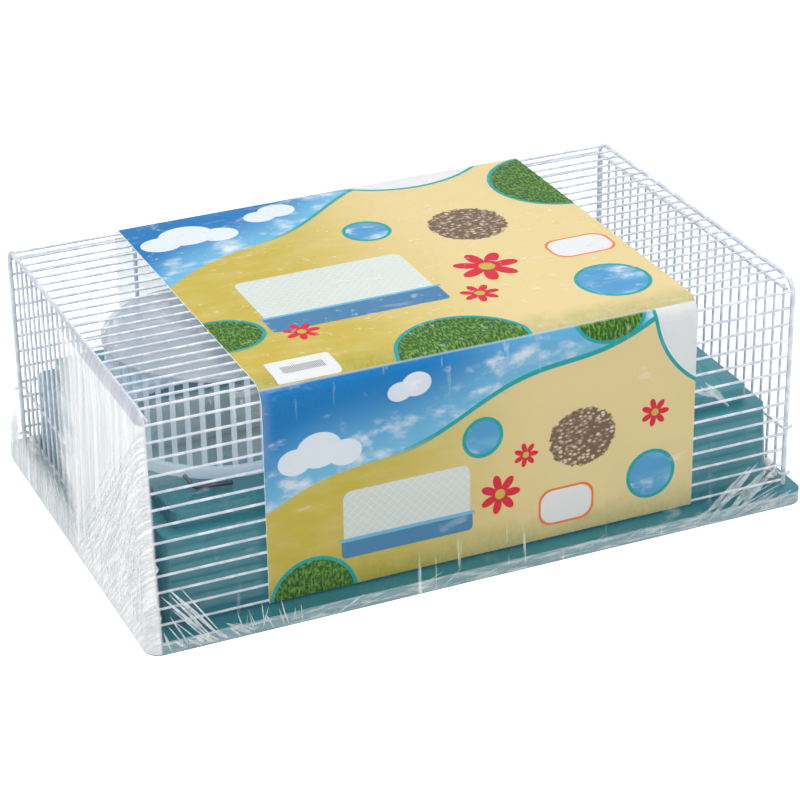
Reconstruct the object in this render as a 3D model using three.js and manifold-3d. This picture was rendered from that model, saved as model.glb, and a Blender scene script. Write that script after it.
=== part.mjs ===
// A small hamster cage as it is packed for sale. The plastic tub lies upside down, the wire body
// stands over it on the tub's rim, the accessories lie on the tub's upturned floor, and a card
// sleeve and a shrink film go over the wires.
// Units are millimetres. X runs along the cage, the front is at -Y, Z is up, and the origin is
// the middle of the cage on the surface that it stands on.

import * as THREE from 'three';
import { mergeVertices } from 'three/addons/utils/BufferGeometryUtils.js';
import Module from 'manifold-3d';

const wasm = await Module();
wasm.setup();

// Clearances between neighbouring pieces.
const gap = { seat: 0.3, hook: 0.9, slide: 0.4, barrel: 0.5, bore: 0.3, card: 0.8 };

// One overrun serves every cut, and one depth every weld of crossing wires.
const overrun = 2;
const weld = 0.5;

// The tub, upside down: its rim is at the bottom and its floor panel on top.
const tub = {
  length: 460,
  width: 295,
  rimCorner: 10,
  rimHeight: 9,
  rimWall: 2.2,
  wall: 1.8,
  wallEndInset: 16.5,
  wallSideInset: 18,
  wallCorner: 8,
  wallDraft: 3.5,
  ledgeEndWidth: 9.5,
  ledgeSideWidth: 7.5,
  stepCorner: 6,
  stepHeight: 11,
  panelHeight: 79,
  edge: 1.5,
};

// The bent wire sheet that makes the front, top and back, standing in from the tub's rim.
const sheet = {
  endInset: 9,
  sideInset: 13.3,
  height: 158,
  bend: 10,
  hoopWire: 3.2,
  ribWire: 3,
  ribEndGap: 86.4,
  ribFoot: 2,
  barWire: 1.8,
  bars: 49,
  lowestBar: 13,
  splitGap: 1,
};

// The flat end panels inside the two end hoops.
const panel = {
  bars: 24,
  sideGap: 7.7,
  barWire: 1.8,
  railWire: 2,
  topRailWire: 2.4,
  topRailDrop: 6.3,
  midRailBar: 3,
  railEndGap: 2.4,
};

// The sliding door in the front, over the opening between four levels of bars.
const door = {
  leftRibGap: 19.2,
  rightRibGap: 19.8,
  sillBar: 2,
  lintelBar: 6,
  postWire: 2.4,
  frameWire: 2,
  standOff: 1.4,
  overlap: 2.8,
  bottomRise: 1.3,
  topRise: 22.4,
  hookWire: 1.6,
};

// The plastic clips that turn on the lowest end rails.
const clip = {
  barrelRadius: 3.2,
  tongueWidth: 14,
  tongueInside: 0.4,
  tongueOutside: 2.8,
  neckDrop: 3.4,
  neckTop: 1.6,
  drop: 7.2,
  lipReach: 2,
  lipHeight: 1.4,
};

// The card sleeve and the film.
const card = { leftBare: 74, rightBare: 71, thickness: 0.6, bottom: 12 };
const film = {
  thickness: 0.4,
  bottom: 0.6,
  shoulderDrop: 10.8,
  shoulderSpread: 1.7,
  eavesDrop: 4.3,
  eavesEndGap: 1.7,
  eavesSideGap: 1.1,
  crownInset: 1.5,
  corner: 6,
};

// The running wheel, lying on its stand with its open side down.
const wheel = {
  leftGap: 15,
  frontShare: 0.3096,
  topGap: 1.1,
  radius: 71.5,
  discThickness: 2.6,
  ringHeight: 7,
  ringWall: 4.8,
  rungs: 46,
  rungWidth: 3.6,
  rungThickness: 2,
  hubRadius: 11,
  hubHeight: 9,
  hubRise: 1.5,
};
const stand = {
  footLength: 104,
  footWidth: 26,
  footThickness: 3,
  footRadius: 9,
  neckRadius: 6.5,
  socketDepth: 20,
};
const axle = { radius: 3, headRadius: 7, headThickness: 3 };

// The drinking bottle, lying down along the cage.
const bottle = {
  leftGap: 13,
  radius: 22,
  length: 98,
  shoulder: 12,
  neckRadius: 12.5,
  neckLength: 11,
  wall: 1.3,
  capWall: 2,
  capLength: 15,
  tubeDiameter: 7,
  tubeBore: 5.4,
  tubeStraight: 16,
  tubeReach: 24,
  tubeBend: 12,
  tubeTurn: 32,
  ballDiameter: 4.6,
};

// The loose bent rod and the small ring that show in the photograph.
const rod = { diameter: 2.6, length: 24, aside: 19.5, wheelGap: 5, turn: 9.5, tipReach: 5, tipRise: 7.4, bend: 3 };
const ring = { rightGap: 40, frontGap: 64.2, radius: 3.6, section: 1.6 };

// The food bowl.
const bowl = { leftGap: 14, radius: 34, footRadius: 27, height: 26, wall: 2, lip: 2 };

// The sleeping house: a barrel roof, an open bottom, a doorway and a window.
const house = {
  leftGap: 13,
  topGap: 13.1,
  length: 88,
  width: 66,
  wall: 1.8,
  doorWidth: 34,
  doorHeightShare: 0.645,
  windowWidth: 26,
  windowHeightShare: 0.484,
};

// The toy propeller on its round mount.
const propeller = {
  leftGap: 1,
  blades: 5,
  rootDepth: 1,
  bladeWidth: 16,
  rootWidth: 8,
  bladeThickness: 2.2,
  hubRadius: 9,
  hubHeight: 8,
  reach: 50,
  mountRadius: 17,
  mountHeight: 15,
  mountFlange: 3,
  mountNeck: 11,
  pinRadius: 2.2,
  pinHeadRadius: 4.6,
  pinHeadHeight: 2.4,
  pinDepth: 9,
};

// The flat trim pieces of the toy aeroplane and its clear dome.
const wing = { leftGap: 10, span: 90, chord: 44, thickness: 3, corner: 20, rootCorner: 5, gapBetween: 2 };
const tail = { finLength: 54, finHeight: 36, finThickness: 2.4, planeSpan: 70, planeChord: 24, corner: 9 };
const dome = { radius: 21, height: 24, wall: 1.4, brim: 3 };

// How the room left over in a row is shared out in front of each piece, from the front wires on.
const middleRowShares = [0.3649, 0.152, 0.1351];
const rightRowShares = [0.3612, 0.1131];

// How many faces each kind of round takes.
const round = { wheel: 36, hub: 20, bottle: 24, bowl: 28, dome: 20, small: 12, arch: 12, corner: 5, bend: 4 };

const colours = {
  wire: 0xeceff4,
  tub: 0x2f8790,
  clip: 0xf4f4f1,
  card: 0xd9c27a,
  film: 0xf2f5f7,
  wheel: 0x9fc3d2,
  steel: 0xb9bec4,
  bottle: 0xb8d9ea,
  red: 0xc8203c,
  white: 0xf5f5f2,
  paleBlue: 0xa9d3e6,
  grey: 0xa9b0b7,
  rust: 0x9a4a3f,
};

const model = new THREE.Group();

// Turn a closed three.js geometry into a solid that can be joined and cut.
function solid(geometry) {
  const bare = geometry.clone();
  bare.deleteAttribute('normal');
  bare.deleteAttribute('uv');
  const merged = mergeVertices(bare);
  const corners = [];
  for (let k = 0; k < merged.index.count; k += 3) {
    const [a, b, c] = [merged.index.getX(k), merged.index.getX(k + 1), merged.index.getX(k + 2)];
    if (a !== b && b !== c && c !== a) corners.push(a, b, c);
  }
  return new wasm.Manifold(new wasm.Mesh({
    numProp: 3,
    vertProperties: merged.attributes.position.array,
    triVerts: new Uint32Array(corners),
  }));
}

function joined(solids) {
  return solids.reduce((whole, piece) => whole.add(piece));
}

// Add a solid to the model as a named mesh with its own material.
function addPiece(name, piece, colour, roughness, metalness = 0, opacity = 1) {
  const shape = piece.getMesh();
  const geometry = new THREE.BufferGeometry();
  geometry.setAttribute('position', new THREE.BufferAttribute(new Float32Array(shape.vertProperties), 3));
  geometry.setIndex(new THREE.BufferAttribute(new Uint32Array(shape.triVerts), 1));
  geometry.computeVertexNormals();
  const material = new THREE.MeshStandardMaterial({
    color: colour,
    roughness,
    metalness,
    opacity,
    transparent: opacity < 1,
  });
  const mesh = new THREE.Mesh(geometry, material);
  mesh.name = name;
  model.add(mesh);
}

// A block between two opposite corners.
function block(low, high) {
  const geometry = new THREE.BoxGeometry(high[0] - low[0], high[1] - low[1], high[2] - low[2]);
  geometry.translate((low[0] + high[0]) / 2, (low[1] + high[1]) / 2, (low[2] + high[2]) / 2);
  return solid(geometry);
}

// A solid of revolution about Z. The profile is [radius, height] pairs, the outer side going up.
function turned(profile, segments, place = [0, 0, 0]) {
  const geometry = new THREE.LatheGeometry(profile.map(([r, h]) => new THREE.Vector2(r, h)), segments);
  geometry.rotateX(Math.PI / 2);
  geometry.translate(...place);
  return solid(geometry);
}

function drum(radius, low, high, segments, x, y) {
  return turned([[0, low], [radius, low], [radius, high], [0, high]], segments, [x, y, 0]);
}

// The section of a wire, with its flats at half the wire's diameter.
function wireSection(diameter, sides, bore = 0) {
  const corner = (k, size) => {
    const angle = (k + 1 / 2) * 2 * Math.PI / sides;
    const reach = size / 2 / Math.cos(Math.PI / sides);
    return new THREE.Vector2(reach * Math.cos(angle), reach * Math.sin(angle));
  };
  const ringOf = (size) => Array.from({ length: sides }, (_, k) => corner(k, size));
  const section = new THREE.Shape(ringOf(diameter));
  if (bore > 0) section.holes.push(new THREE.Path(ringOf(bore).reverse()));
  return section;
}

// A curve through chosen stations, so that bends get many sections and straight runs one.
class WirePath extends THREE.Curve {
  constructor(stations) {
    super();
    this.stations = stations;
    this.runs = stations.length - 1;
  }

  getPoint(share, target = new THREE.Vector3()) {
    const place = share * this.runs;
    const start = Math.min(Math.floor(place), this.runs - 1);
    return target.lerpVectors(this.stations[start], this.stations[start + 1], place - start);
  }

  getPointAt(share, target) {
    return this.getPoint(share, target);
  }

  getTangentAt(share, target = new THREE.Vector3()) {
    const station = Math.round(share * this.runs);
    const run = (k) => {
      const start = THREE.MathUtils.clamp(k, 0, this.runs - 1);
      return new THREE.Vector3().subVectors(this.stations[start + 1], this.stations[start]).normalize();
    };
    return target.addVectors(run(station - 1), run(station)).normalize();
  }
}

function wireThrough(stations, diameter, sides, bore = 0) {
  const path = new WirePath(stations);
  const options = { steps: path.runs, extrudePath: path };
  return solid(new THREE.ExtrudeGeometry(wireSection(diameter, sides, bore), options));
}

// A straight wire between two points.
function wire(from, to, diameter, sides = 4) {
  return wireThrough([new THREE.Vector3(...from), new THREE.Vector3(...to)], diameter, sides);
}

// Stations along a line of corners whose inner corners are bent to a radius.
function bentStations(places, bend) {
  const corners = places.map((place) => new THREE.Vector3(...place));
  const stations = [corners[0]];
  for (let k = 1; k < corners.length - 1; k += 1) {
    const back = new THREE.Vector3().subVectors(corners[k - 1], corners[k]).normalize();
    const ahead = new THREE.Vector3().subVectors(corners[k + 1], corners[k]).normalize();
    const half = back.angleTo(ahead) / 2;
    const inward = new THREE.Vector3().addVectors(back, ahead).normalize();
    const centre = corners[k].clone().addScaledVector(inward, bend / Math.sin(half));
    const spoke = corners[k].clone().addScaledVector(back, bend / Math.tan(half)).sub(centre);
    const turnAxis = new THREE.Vector3().crossVectors(ahead, back).normalize().negate();
    for (let step = 0; step <= round.bend; step += 1) {
      const turn = (Math.PI - 2 * half) * step / round.bend;
      stations.push(spoke.clone().applyAxisAngle(turnAxis, -turn).add(centre));
    }
  }
  stations.push(corners[corners.length - 1]);
  return stations;
}

// The corner points of a rounded rectangle, counter-clockwise seen from above.
function roundedRectangle({ x, y, corner, z }) {
  const points = [];
  const quarters = [[1, 1], [-1, 1], [-1, -1], [1, -1]];
  quarters.forEach(([sideX, sideY], quarter) => {
    for (let step = 0; step <= round.corner; step += 1) {
      const angle = (quarter + step / round.corner) * Math.PI / 2;
      points.push([
        sideX * (x - corner) + corner * Math.cos(angle),
        sideY * (y - corner) + corner * Math.sin(angle),
        z,
      ]);
    }
  });
  return points;
}

// An open-bottomed shell: rings of rounded rectangles outside and inside, from the foot up.
function hood(outside, inside) {
  const rings = [...outside, ...[...inside].reverse()].map(roundedRectangle);
  const size = rings[0].length;
  const corners = [];
  const band = (lower, upper) => {
    for (let k = 0; k < size; k += 1) {
      const next = (k + 1) % size;
      corners.push(lower * size + k, lower * size + next, upper * size + next);
      corners.push(lower * size + k, upper * size + next, upper * size + k);
    }
  };
  const lid = (level, facesUp) => {
    for (let k = 1; k < size - 1; k += 1) {
      const fan = facesUp ? [0, k, k + 1] : [0, k + 1, k];
      fan.forEach((corner) => corners.push(level * size + corner));
    }
  };
  for (let level = 0; level < rings.length - 1; level += 1) {
    if (level !== outside.length - 1) band(level, level + 1);
  }
  lid(outside.length - 1, true);
  lid(outside.length, false);
  band(rings.length - 1, 0);
  const geometry = new THREE.BufferGeometry();
  geometry.setAttribute('position', new THREE.Float32BufferAttribute(rings.flat(2), 3));
  geometry.setIndex(corners);
  return solid(geometry);
}

// A flat plate from an outline, standing on a height.
function plate(shape, thickness, place, turn = 0) {
  const geometry = new THREE.ExtrudeGeometry(shape, {
    depth: thickness,
    bevelEnabled: false,
    curveSegments: round.small / 4,
  });
  geometry.rotateZ(turn);
  geometry.translate(...place);
  return solid(geometry);
}

// A rectangle whose two ends have their own corner radii.
function endedRectangle(length, width, leftCorner, rightCorner) {
  const [x, y] = [length / 2, width / 2];
  const shape = new THREE.Shape();
  shape.moveTo(-x + leftCorner, -y);
  shape.lineTo(x - rightCorner, -y);
  shape.absarc(x - rightCorner, -y + rightCorner, rightCorner, -Math.PI / 2, 0);
  shape.absarc(x - rightCorner, y - rightCorner, rightCorner, 0, Math.PI / 2);
  shape.lineTo(-x + leftCorner, y);
  shape.absarc(-x + leftCorner, y - leftCorner, leftCorner, Math.PI / 2, Math.PI);
  shape.absarc(-x + leftCorner, -y + leftCorner, leftCorner, Math.PI, 3 * Math.PI / 2);
  return shape;
}

// An arch: straight sides with a round top, its foot on the line y = 0.
function arch(width, height) {
  const shape = new THREE.Shape();
  shape.moveTo(-width / 2, 0);
  shape.lineTo(width / 2, 0);
  shape.absarc(0, height - width / 2, width / 2, 0, Math.PI);
  shape.lineTo(-width / 2, 0);
  return shape;
}

// The tub.
function buildTub() {
  const half = { x: tub.length / 2, y: tub.width / 2 };
  const foot = { x: half.x - tub.wallEndInset, y: half.y - tub.wallSideInset, corner: tub.wallCorner };
  const ledgeHeight = tub.panelHeight - tub.stepHeight;
  const inset = (place, by, z) => ({ x: place.x - by, y: place.y - by, corner: place.corner - by, z });
  const rim = { ...half, corner: tub.rimCorner };
  const ledge = inset(foot, tub.wallDraft);
  const step = {
    x: ledge.x - tub.ledgeEndWidth,
    y: ledge.y - tub.ledgeSideWidth,
    corner: tub.stepCorner,
  };
  const outside = [
    inset(rim, 0, 0),
    inset(rim, 0, tub.rimHeight - tub.edge),
    inset(rim, tub.edge, tub.rimHeight),
    inset(foot, -tub.edge, tub.rimHeight),
    inset(foot, 0, tub.rimHeight + tub.edge),
    inset(ledge, 0, ledgeHeight - tub.edge),
    inset(ledge, tub.edge, ledgeHeight),
    inset(step, -tub.edge, ledgeHeight),
    inset(step, 0, ledgeHeight + tub.edge),
    inset(step, 0, tub.panelHeight - tub.edge),
    inset(step, tub.edge, tub.panelHeight),
  ];
  const inside = [
    inset(rim, tub.rimWall, 0),
    inset(rim, tub.rimWall, tub.rimHeight - tub.wall),
    inset(foot, tub.wall, tub.rimHeight - tub.wall),
    inset(ledge, tub.wall, ledgeHeight - tub.wall),
    inset(step, tub.wall, ledgeHeight - tub.wall),
    inset(step, tub.wall, tub.panelHeight - tub.wall),
  ];
  addPiece('tub', hood(outside, inside), colours.tub, 0.35);
}

// Where the sheet lies at a length along it, from the lowest front bar over to the back.
const sheetLength = tub.length - 2 * sheet.endInset;
const sheetWidth = tub.width - 2 * sheet.sideInset;
const bendStart = sheet.height - sheet.bend;
const flatHalf = sheetWidth / 2 - sheet.bend;
const sideRun = bendStart - sheet.lowestBar;
const bendRun = sheet.bend * Math.PI / 2;
const sheetRun = 2 * (sideRun + bendRun + flatHalf);
const barPitch = sheetRun / (sheet.bars - 1);
const legFoot = tub.rimHeight + gap.seat;

// The sheet is split on its flat top, halfway between two bars.
const barsPerSide = Math.ceil((sideRun + bendRun + sheet.splitGap) / barPitch + 1 / 2);
const splitAt = flatHalf + sideRun + bendRun - (barsPerSide - 1 / 2) * barPitch;

function sheetPlace(run) {
  const fromEnd = Math.min(run, sheetRun - run);
  const side = run <= sheetRun / 2 ? -1 : 1;
  if (fromEnd <= sideRun) return { y: side * sheetWidth / 2, z: sheet.lowestBar + fromEnd };
  if (fromEnd <= sideRun + bendRun) {
    const turn = (fromEnd - sideRun) / sheet.bend;
    return {
      y: side * (flatHalf + sheet.bend * Math.cos(turn)),
      z: bendStart + sheet.bend * Math.sin(turn),
    };
  }
  return { y: side * (flatHalf - (fromEnd - sideRun - bendRun)), z: sheet.height };
}

// A bar along the cage, at one of the sheet's pitch lines.
function longBar(index, from = -sheetLength / 2, to = sheetLength / 2) {
  const { y, z } = sheetPlace(index * barPitch);
  return wire([from, y, z], [to, y, z], sheet.barWire);
}

const ribInset = (sheet.barWire + sheet.ribWire) / 2 - weld;
const endRib = sheetLength / 2 - sheet.ribEndGap;
const ribPlaces = [-endRib, 0, endRib];
const doorSides = [door.leftRibGap, endRib - door.rightRibGap];
const doorPosts = [doorSides[0] + door.overlap, doorSides[1] - door.overlap];
const doorMiddle = (doorSides[0] + doorSides[1]) / 2;
const doorY = -sheetWidth / 2 + door.postWire / 2 + door.standOff + door.frameWire / 2;
const barHeight = (index) => sheetPlace(index * barPitch).z;

// The posts beside the door opening, and the hooks behind the door that guide it.
function doorway() {
  const y = -sheetWidth / 2;
  const hookY = doorY + door.frameWire / 2 + gap.slide + door.hookWire / 2;
  const hookOffset = (door.frameWire + door.hookWire) / 2 + gap.slide;
  const pieces = [];
  [-1, 1].forEach((outward, k) => {
    const x = doorPosts[k];
    const hookX = doorSides[k] + outward * hookOffset;
    pieces.push(wire([x, y, barHeight(door.sillBar)], [x, y, barHeight(door.lintelBar)], door.postWire));
    for (const level of [door.lintelBar, door.lintelBar + 1]) {
      const z = barHeight(level);
      pieces.push(wire([hookX, y, z], [hookX, hookY, z], door.hookWire));
      const tip = doorSides[k] - outward * door.frameWire / 2;
      const heel = hookX + outward * door.hookWire / 2;
      pieces.push(wire([heel, hookY, z], [tip, hookY, z], door.hookWire));
    }
  });
  return pieces;
}

// The front or back face of the wire body, with its two bends over the top edge.
function faceGrille(side, withDoor) {
  const end = splitAt + gap.seat / 2;
  const pieces = [];
  for (const x of [-sheetLength / 2, sheetLength / 2]) {
    const y = side * sheetWidth / 2;
    const corners = [[x, y, legFoot], [x, y, sheet.height], [x, side * end, sheet.height]];
    pieces.push(wireThrough(bentStations(corners, sheet.bend), sheet.hoopWire, 4));
  }
  for (const x of ribPlaces) {
    const y = side * (sheetWidth / 2 - ribInset);
    const top = sheet.height - ribInset;
    const corners = [[x, y, sheet.lowestBar - sheet.ribFoot], [x, y, top], [x, side * end, top]];
    pieces.push(wireThrough(bentStations(corners, sheet.bend - ribInset), sheet.ribWire, 4));
  }
  for (let k = 0; k < barsPerSide; k += 1) {
    const index = side < 0 ? k : sheet.bars - 1 - k;
    if (withDoor && k > door.sillBar && k < door.lintelBar) {
      pieces.push(longBar(index, -sheetLength / 2, doorPosts[0]));
      pieces.push(longBar(index, doorPosts[1], sheetLength / 2));
    } else {
      pieces.push(longBar(index));
    }
  }
  return joined(withDoor ? [...pieces, ...doorway()] : pieces);
}

function topGrille() {
  const end = splitAt - gap.seat / 2;
  const pieces = [];
  for (const x of [-sheetLength / 2, sheetLength / 2]) {
    pieces.push(wire([x, -end, sheet.height], [x, end, sheet.height], sheet.hoopWire));
  }
  for (const x of ribPlaces) {
    const z = sheet.height - ribInset;
    pieces.push(wire([x, -end, z], [x, end, z], sheet.ribWire));
  }
  for (let k = barsPerSide; k < sheet.bars - barsPerSide; k += 1) pieces.push(longBar(k));
  return joined(pieces);
}

// An end panel: upright bars on three rails, two of them hooked round the hoop's legs.
const hookRadius = (sheet.hoopWire + panel.railWire) / 2 + gap.hook;
const railX = sheetLength / 2 - hookRadius;
const lowRailHeight = (barHeight(0) + barHeight(1)) / 2;
const midRailHeight = (barHeight(panel.midRailBar) + barHeight(panel.midRailBar + 1)) / 2;
const topRailHeight = sheet.height - panel.topRailDrop;
const panelPitch = (sheetWidth - 2 * panel.sideGap) / (panel.bars - 1);
const panelBarX = railX + (panel.railWire + panel.barWire) / 2 - weld;

function hookedRail(side, z) {
  const sweep = 5 / 6 * Math.PI;
  const stations = [];
  for (const end of [-1, 1]) {
    const hook = [];
    for (let step = 0; step <= round.bend; step += 1) {
      const turn = sweep * step / round.bend;
      hook.push(new THREE.Vector3(
        side * (sheetLength / 2 - hookRadius * Math.cos(turn)),
        end * (sheetWidth / 2 + hookRadius * Math.sin(turn)),
        z,
      ));
    }
    stations.push(...(end < 0 ? hook.reverse() : hook));
  }
  return wireThrough(stations, panel.railWire, 4);
}

function endPanel(side) {
  const reach = sheetWidth / 2 - panel.railEndGap;
  const topX = side * railX;
  const pieces = [
    hookedRail(side, lowRailHeight),
    hookedRail(side, midRailHeight),
    wire([topX, -reach, topRailHeight], [topX, reach, topRailHeight], panel.topRailWire),
  ];
  const low = lowRailHeight - panel.railWire / 2;
  const high = topRailHeight + panel.topRailWire / 2;
  for (let k = 0; k < panel.bars; k += 1) {
    const y = (k - (panel.bars - 1) / 2) * panelPitch;
    pieces.push(wire([side * panelBarX, y, low], [side * panelBarX, y, high], panel.barWire));
  }
  return joined(pieces);
}

function slidingDoor() {
  const low = barHeight(door.sillBar) + door.bottomRise;
  const high = barHeight(door.lintelBar) + door.topRise;
  const pieces = [];
  for (const x of doorSides) pieces.push(wire([x, doorY, low], [x, doorY, high], door.frameWire));
  pieces.push(wire([doorMiddle, doorY, low], [doorMiddle, doorY, high], door.frameWire));
  const levels = [low + door.frameWire / 2, high - door.frameWire / 2];
  for (let k = door.sillBar + 1; k < door.lintelBar; k += 1) levels.push(barHeight(k));
  for (const z of levels) {
    pieces.push(wire([doorSides[0], doorY, z], [doorSides[1], doorY, z], door.frameWire));
  }
  return joined(pieces);
}

// A clip that turns on the lowest rail, with its tongue hanging over the tub's rim.
function closureClip(side, end) {
  const bore = panel.railWire / 2 / Math.cos(Math.PI / 4) + gap.bore;
  const barrelLength = panelPitch - panel.barWire - 2 * gap.barrel;
  const y = end * (panel.bars / 2 - 1) * panelPitch;
  const across = (low, high, width) => {
    const xs = [side * low[0], side * high[0]].sort((a, b) => a - b);
    const from = [side * railX + xs[0], y - width / 2, lowRailHeight + low[1]];
    const to = [side * railX + xs[1], y + width / 2, lowRailHeight + high[1]];
    return block(from, to);
  };
  const along = (radius, length) => {
    const geometry = new THREE.CylinderGeometry(radius, radius, length, round.small);
    geometry.translate(side * railX, y, lowRailHeight);
    return solid(geometry);
  };
  const { tongueInside, tongueOutside, tongueWidth, neckDrop, neckTop, drop, lipReach, lipHeight } = clip;
  const neck = across([tongueInside, -neckDrop], [tongueOutside, -neckTop], barrelLength);
  const tongue = across([tongueInside, -drop], [tongueOutside, -neckDrop], tongueWidth);
  const lip = across([-lipReach, -drop], [tongueOutside, lipHeight - drop], tongueWidth);
  const barrel = along(clip.barrelRadius, barrelLength);
  return joined([barrel, neck, tongue, lip]).subtract(along(bore, barrelLength + overrun));
}

// The card sleeve over the front, top and back.
const cardInset = sheet.barWire / 2 + gap.card;

function cardSleeve() {
  const inner = cardInset;
  const outer = inner + card.thickness;
  const centre = { y: flatHalf, z: bendStart };
  const shape = new THREE.Shape();
  shape.moveTo(sheetWidth / 2 + outer, card.bottom);
  shape.absarc(centre.y, centre.z, sheet.bend + outer, 0, Math.PI / 2);
  shape.absarc(-centre.y, centre.z, sheet.bend + outer, Math.PI / 2, Math.PI);
  shape.lineTo(-sheetWidth / 2 - outer, card.bottom);
  shape.lineTo(-sheetWidth / 2 - inner, card.bottom);
  shape.absarc(-centre.y, centre.z, sheet.bend + inner, Math.PI, Math.PI / 2, true);
  shape.absarc(centre.y, centre.z, sheet.bend + inner, Math.PI / 2, 0, true);
  shape.lineTo(sheetWidth / 2 + inner, card.bottom);
  const geometry = new THREE.ExtrudeGeometry(shape, {
    depth: sheetLength - card.leftBare - card.rightBare,
    bevelEnabled: false,
    curveSegments: 2 * round.bend,
  });
  geometry.rotateX(Math.PI / 2);
  geometry.rotateZ(Math.PI / 2);
  geometry.translate(card.leftBare - sheetLength / 2, 0, 0);
  return solid(geometry);
}

// The shrink film, drawn in from the tub's rim to the top of the wires.
function shrinkFilm() {
  const top = sheet.height + cardInset + card.thickness + gap.seat;
  const rings = (outward) => {
    const x = tub.length / 2 + gap.seat + outward;
    const y = tub.width / 2 + gap.seat + outward;
    const rimCorner = tub.rimCorner + gap.seat + outward;
    const corner = film.corner + outward;
    const eaves = {
      x: (sheetLength + sheet.hoopWire) / 2 + film.eavesEndGap + outward,
      y: sheetWidth / 2 + cardInset + card.thickness + film.eavesSideGap + outward,
    };
    const shoulder = { x: eaves.x + film.shoulderSpread, y: eaves.y + film.shoulderSpread };
    return [
      { x, y, corner: rimCorner, z: film.bottom },
      { x, y, corner: rimCorner, z: tub.rimHeight + gap.seat + outward },
      { ...shoulder, corner, z: top - film.shoulderDrop },
      { ...eaves, corner, z: top - film.eavesDrop + outward },
      { x: eaves.x - film.crownInset, y: eaves.y - film.crownInset, corner, z: top + outward },
    ];
  };
  return hood(rings(film.thickness), rings(0));
}

addPiece('front_grille', faceGrille(-1, true), colours.wire, 0.3);
addPiece('back_grille', faceGrille(1, false), colours.wire, 0.3);
addPiece('top_grille', topGrille(), colours.wire, 0.3);
addPiece('left_end_panel', endPanel(-1), colours.wire, 0.3);
addPiece('right_end_panel', endPanel(1), colours.wire, 0.3);
addPiece('sliding_door', slidingDoor(), colours.wire, 0.3);
for (const [side, sideName] of [[-1, 'left'], [1, 'right']]) {
  for (const [end, endName] of [[-1, 'front'], [1, 'back']]) {
    addPiece(`clip_${sideName}_${endName}`, closureClip(side, end), colours.clip, 0.4);
  }
}
addPiece('card_sleeve', cardSleeve(), colours.card, 0.5);
addPiece('shrink_film', shrinkFilm(), colours.film, 0.15, 0, 0.25);
buildTub();

// Everything below lies on the tub's upturned floor, under the ribs and between the front and back
// ones. The wheel lies at the left, and the rest in two rows beside it.
const floorHeight = tub.panelHeight + gap.seat;
const ribUnderside = sheet.height - ribInset - sheet.ribWire / 2;
const roomHalf = sheetWidth / 2 - ribInset - sheet.ribWire / 2;

// The middles of pieces in a row from one edge to another, from their depths.
function rowPlaces(front, back, depths, shares) {
  const free = depths.reduce((room, depth) => room - depth, back - front);
  let edge = front;
  return depths.map((depth, k) => {
    edge += shares[k] * free + depth;
    return edge - depth / 2;
  });
}

const wheelX = wheel.leftGap + wheel.radius - sheetLength / 2;
const [wheelY] = rowPlaces(-roomHalf, roomHalf, [2 * wheel.radius], [wheel.frontShare]);
const wheelRight = wheelX + wheel.radius;
const wheelHeadFoot = ribUnderside - wheel.topGap - axle.headThickness;
const wheelTop = wheelHeadFoot - gap.seat - wheel.hubRise;
const wingsDepth = 2 * wing.chord + wing.gapBetween;
const middleDepths = [2 * bottle.radius, 2 * bowl.radius, wingsDepth];
const [bottleY, bowlY, wingsY] = rowPlaces(-roomHalf, roomHalf, middleDepths, middleRowShares);
const bottleLeft = wheelRight + bottle.leftGap;
const bowlX = wheelRight + bowl.leftGap + bowl.radius;
const wingX = wheelRight + wing.leftGap + wing.span / 2;
const wingRight = wingX + wing.span / 2;
const tubeAside = bottle.tubeReach * Math.sin(THREE.MathUtils.degToRad(bottle.tubeTurn));
const tubeEdge = bottleY + tubeAside + bottle.tubeDiameter / 2;
const rightDepths = [2 * propeller.reach, house.width];
const [propellerY, houseY] = rowPlaces(tubeEdge, roomHalf, rightDepths, rightRowShares);
const propellerX = wingRight + propeller.leftGap + propeller.reach;
const houseX = wingRight + house.leftGap + house.length / 2;
const houseHeight = ribUnderside - house.topGap - floorHeight;

function runningWheel() {
  const low = floorHeight;
  const high = wheelTop;
  const bore = axle.radius + gap.bore;
  const innerRing = wheel.radius - wheel.ringWall;
  const disc = turned([
    [bore, high - wheel.hubHeight],
    [wheel.hubRadius, high - wheel.hubHeight],
    [wheel.hubRadius, high - wheel.discThickness],
    [wheel.radius, high - wheel.discThickness],
    [wheel.radius, high],
    [wheel.hubRadius, high],
    [wheel.hubRadius, high + wheel.hubRise],
    [bore, high + wheel.hubRise],
    [bore, high - wheel.hubHeight],
  ], round.wheel);
  const hoop = turned([
    [innerRing, low],
    [wheel.radius, low],
    [wheel.radius, low + wheel.ringHeight],
    [innerRing, low + wheel.ringHeight],
    [innerRing, low],
  ], round.wheel);
  const pieces = [disc, hoop];
  const middle = wheel.radius - wheel.ringWall / 2;
  for (let k = 0; k < wheel.rungs; k += 1) {
    const height = high - low - wheel.discThickness / 2 - wheel.ringHeight / 2;
    const geometry = new THREE.BoxGeometry(wheel.rungThickness, wheel.rungWidth, height);
    geometry.translate(middle, 0, low + wheel.ringHeight / 2 + height / 2);
    geometry.rotateZ(k * 2 * Math.PI / wheel.rungs);
    pieces.push(solid(geometry));
  }
  return joined(pieces).translate([wheelX, wheelY, 0]);
}

const hubFoot = wheelTop - wheel.hubHeight;

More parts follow.
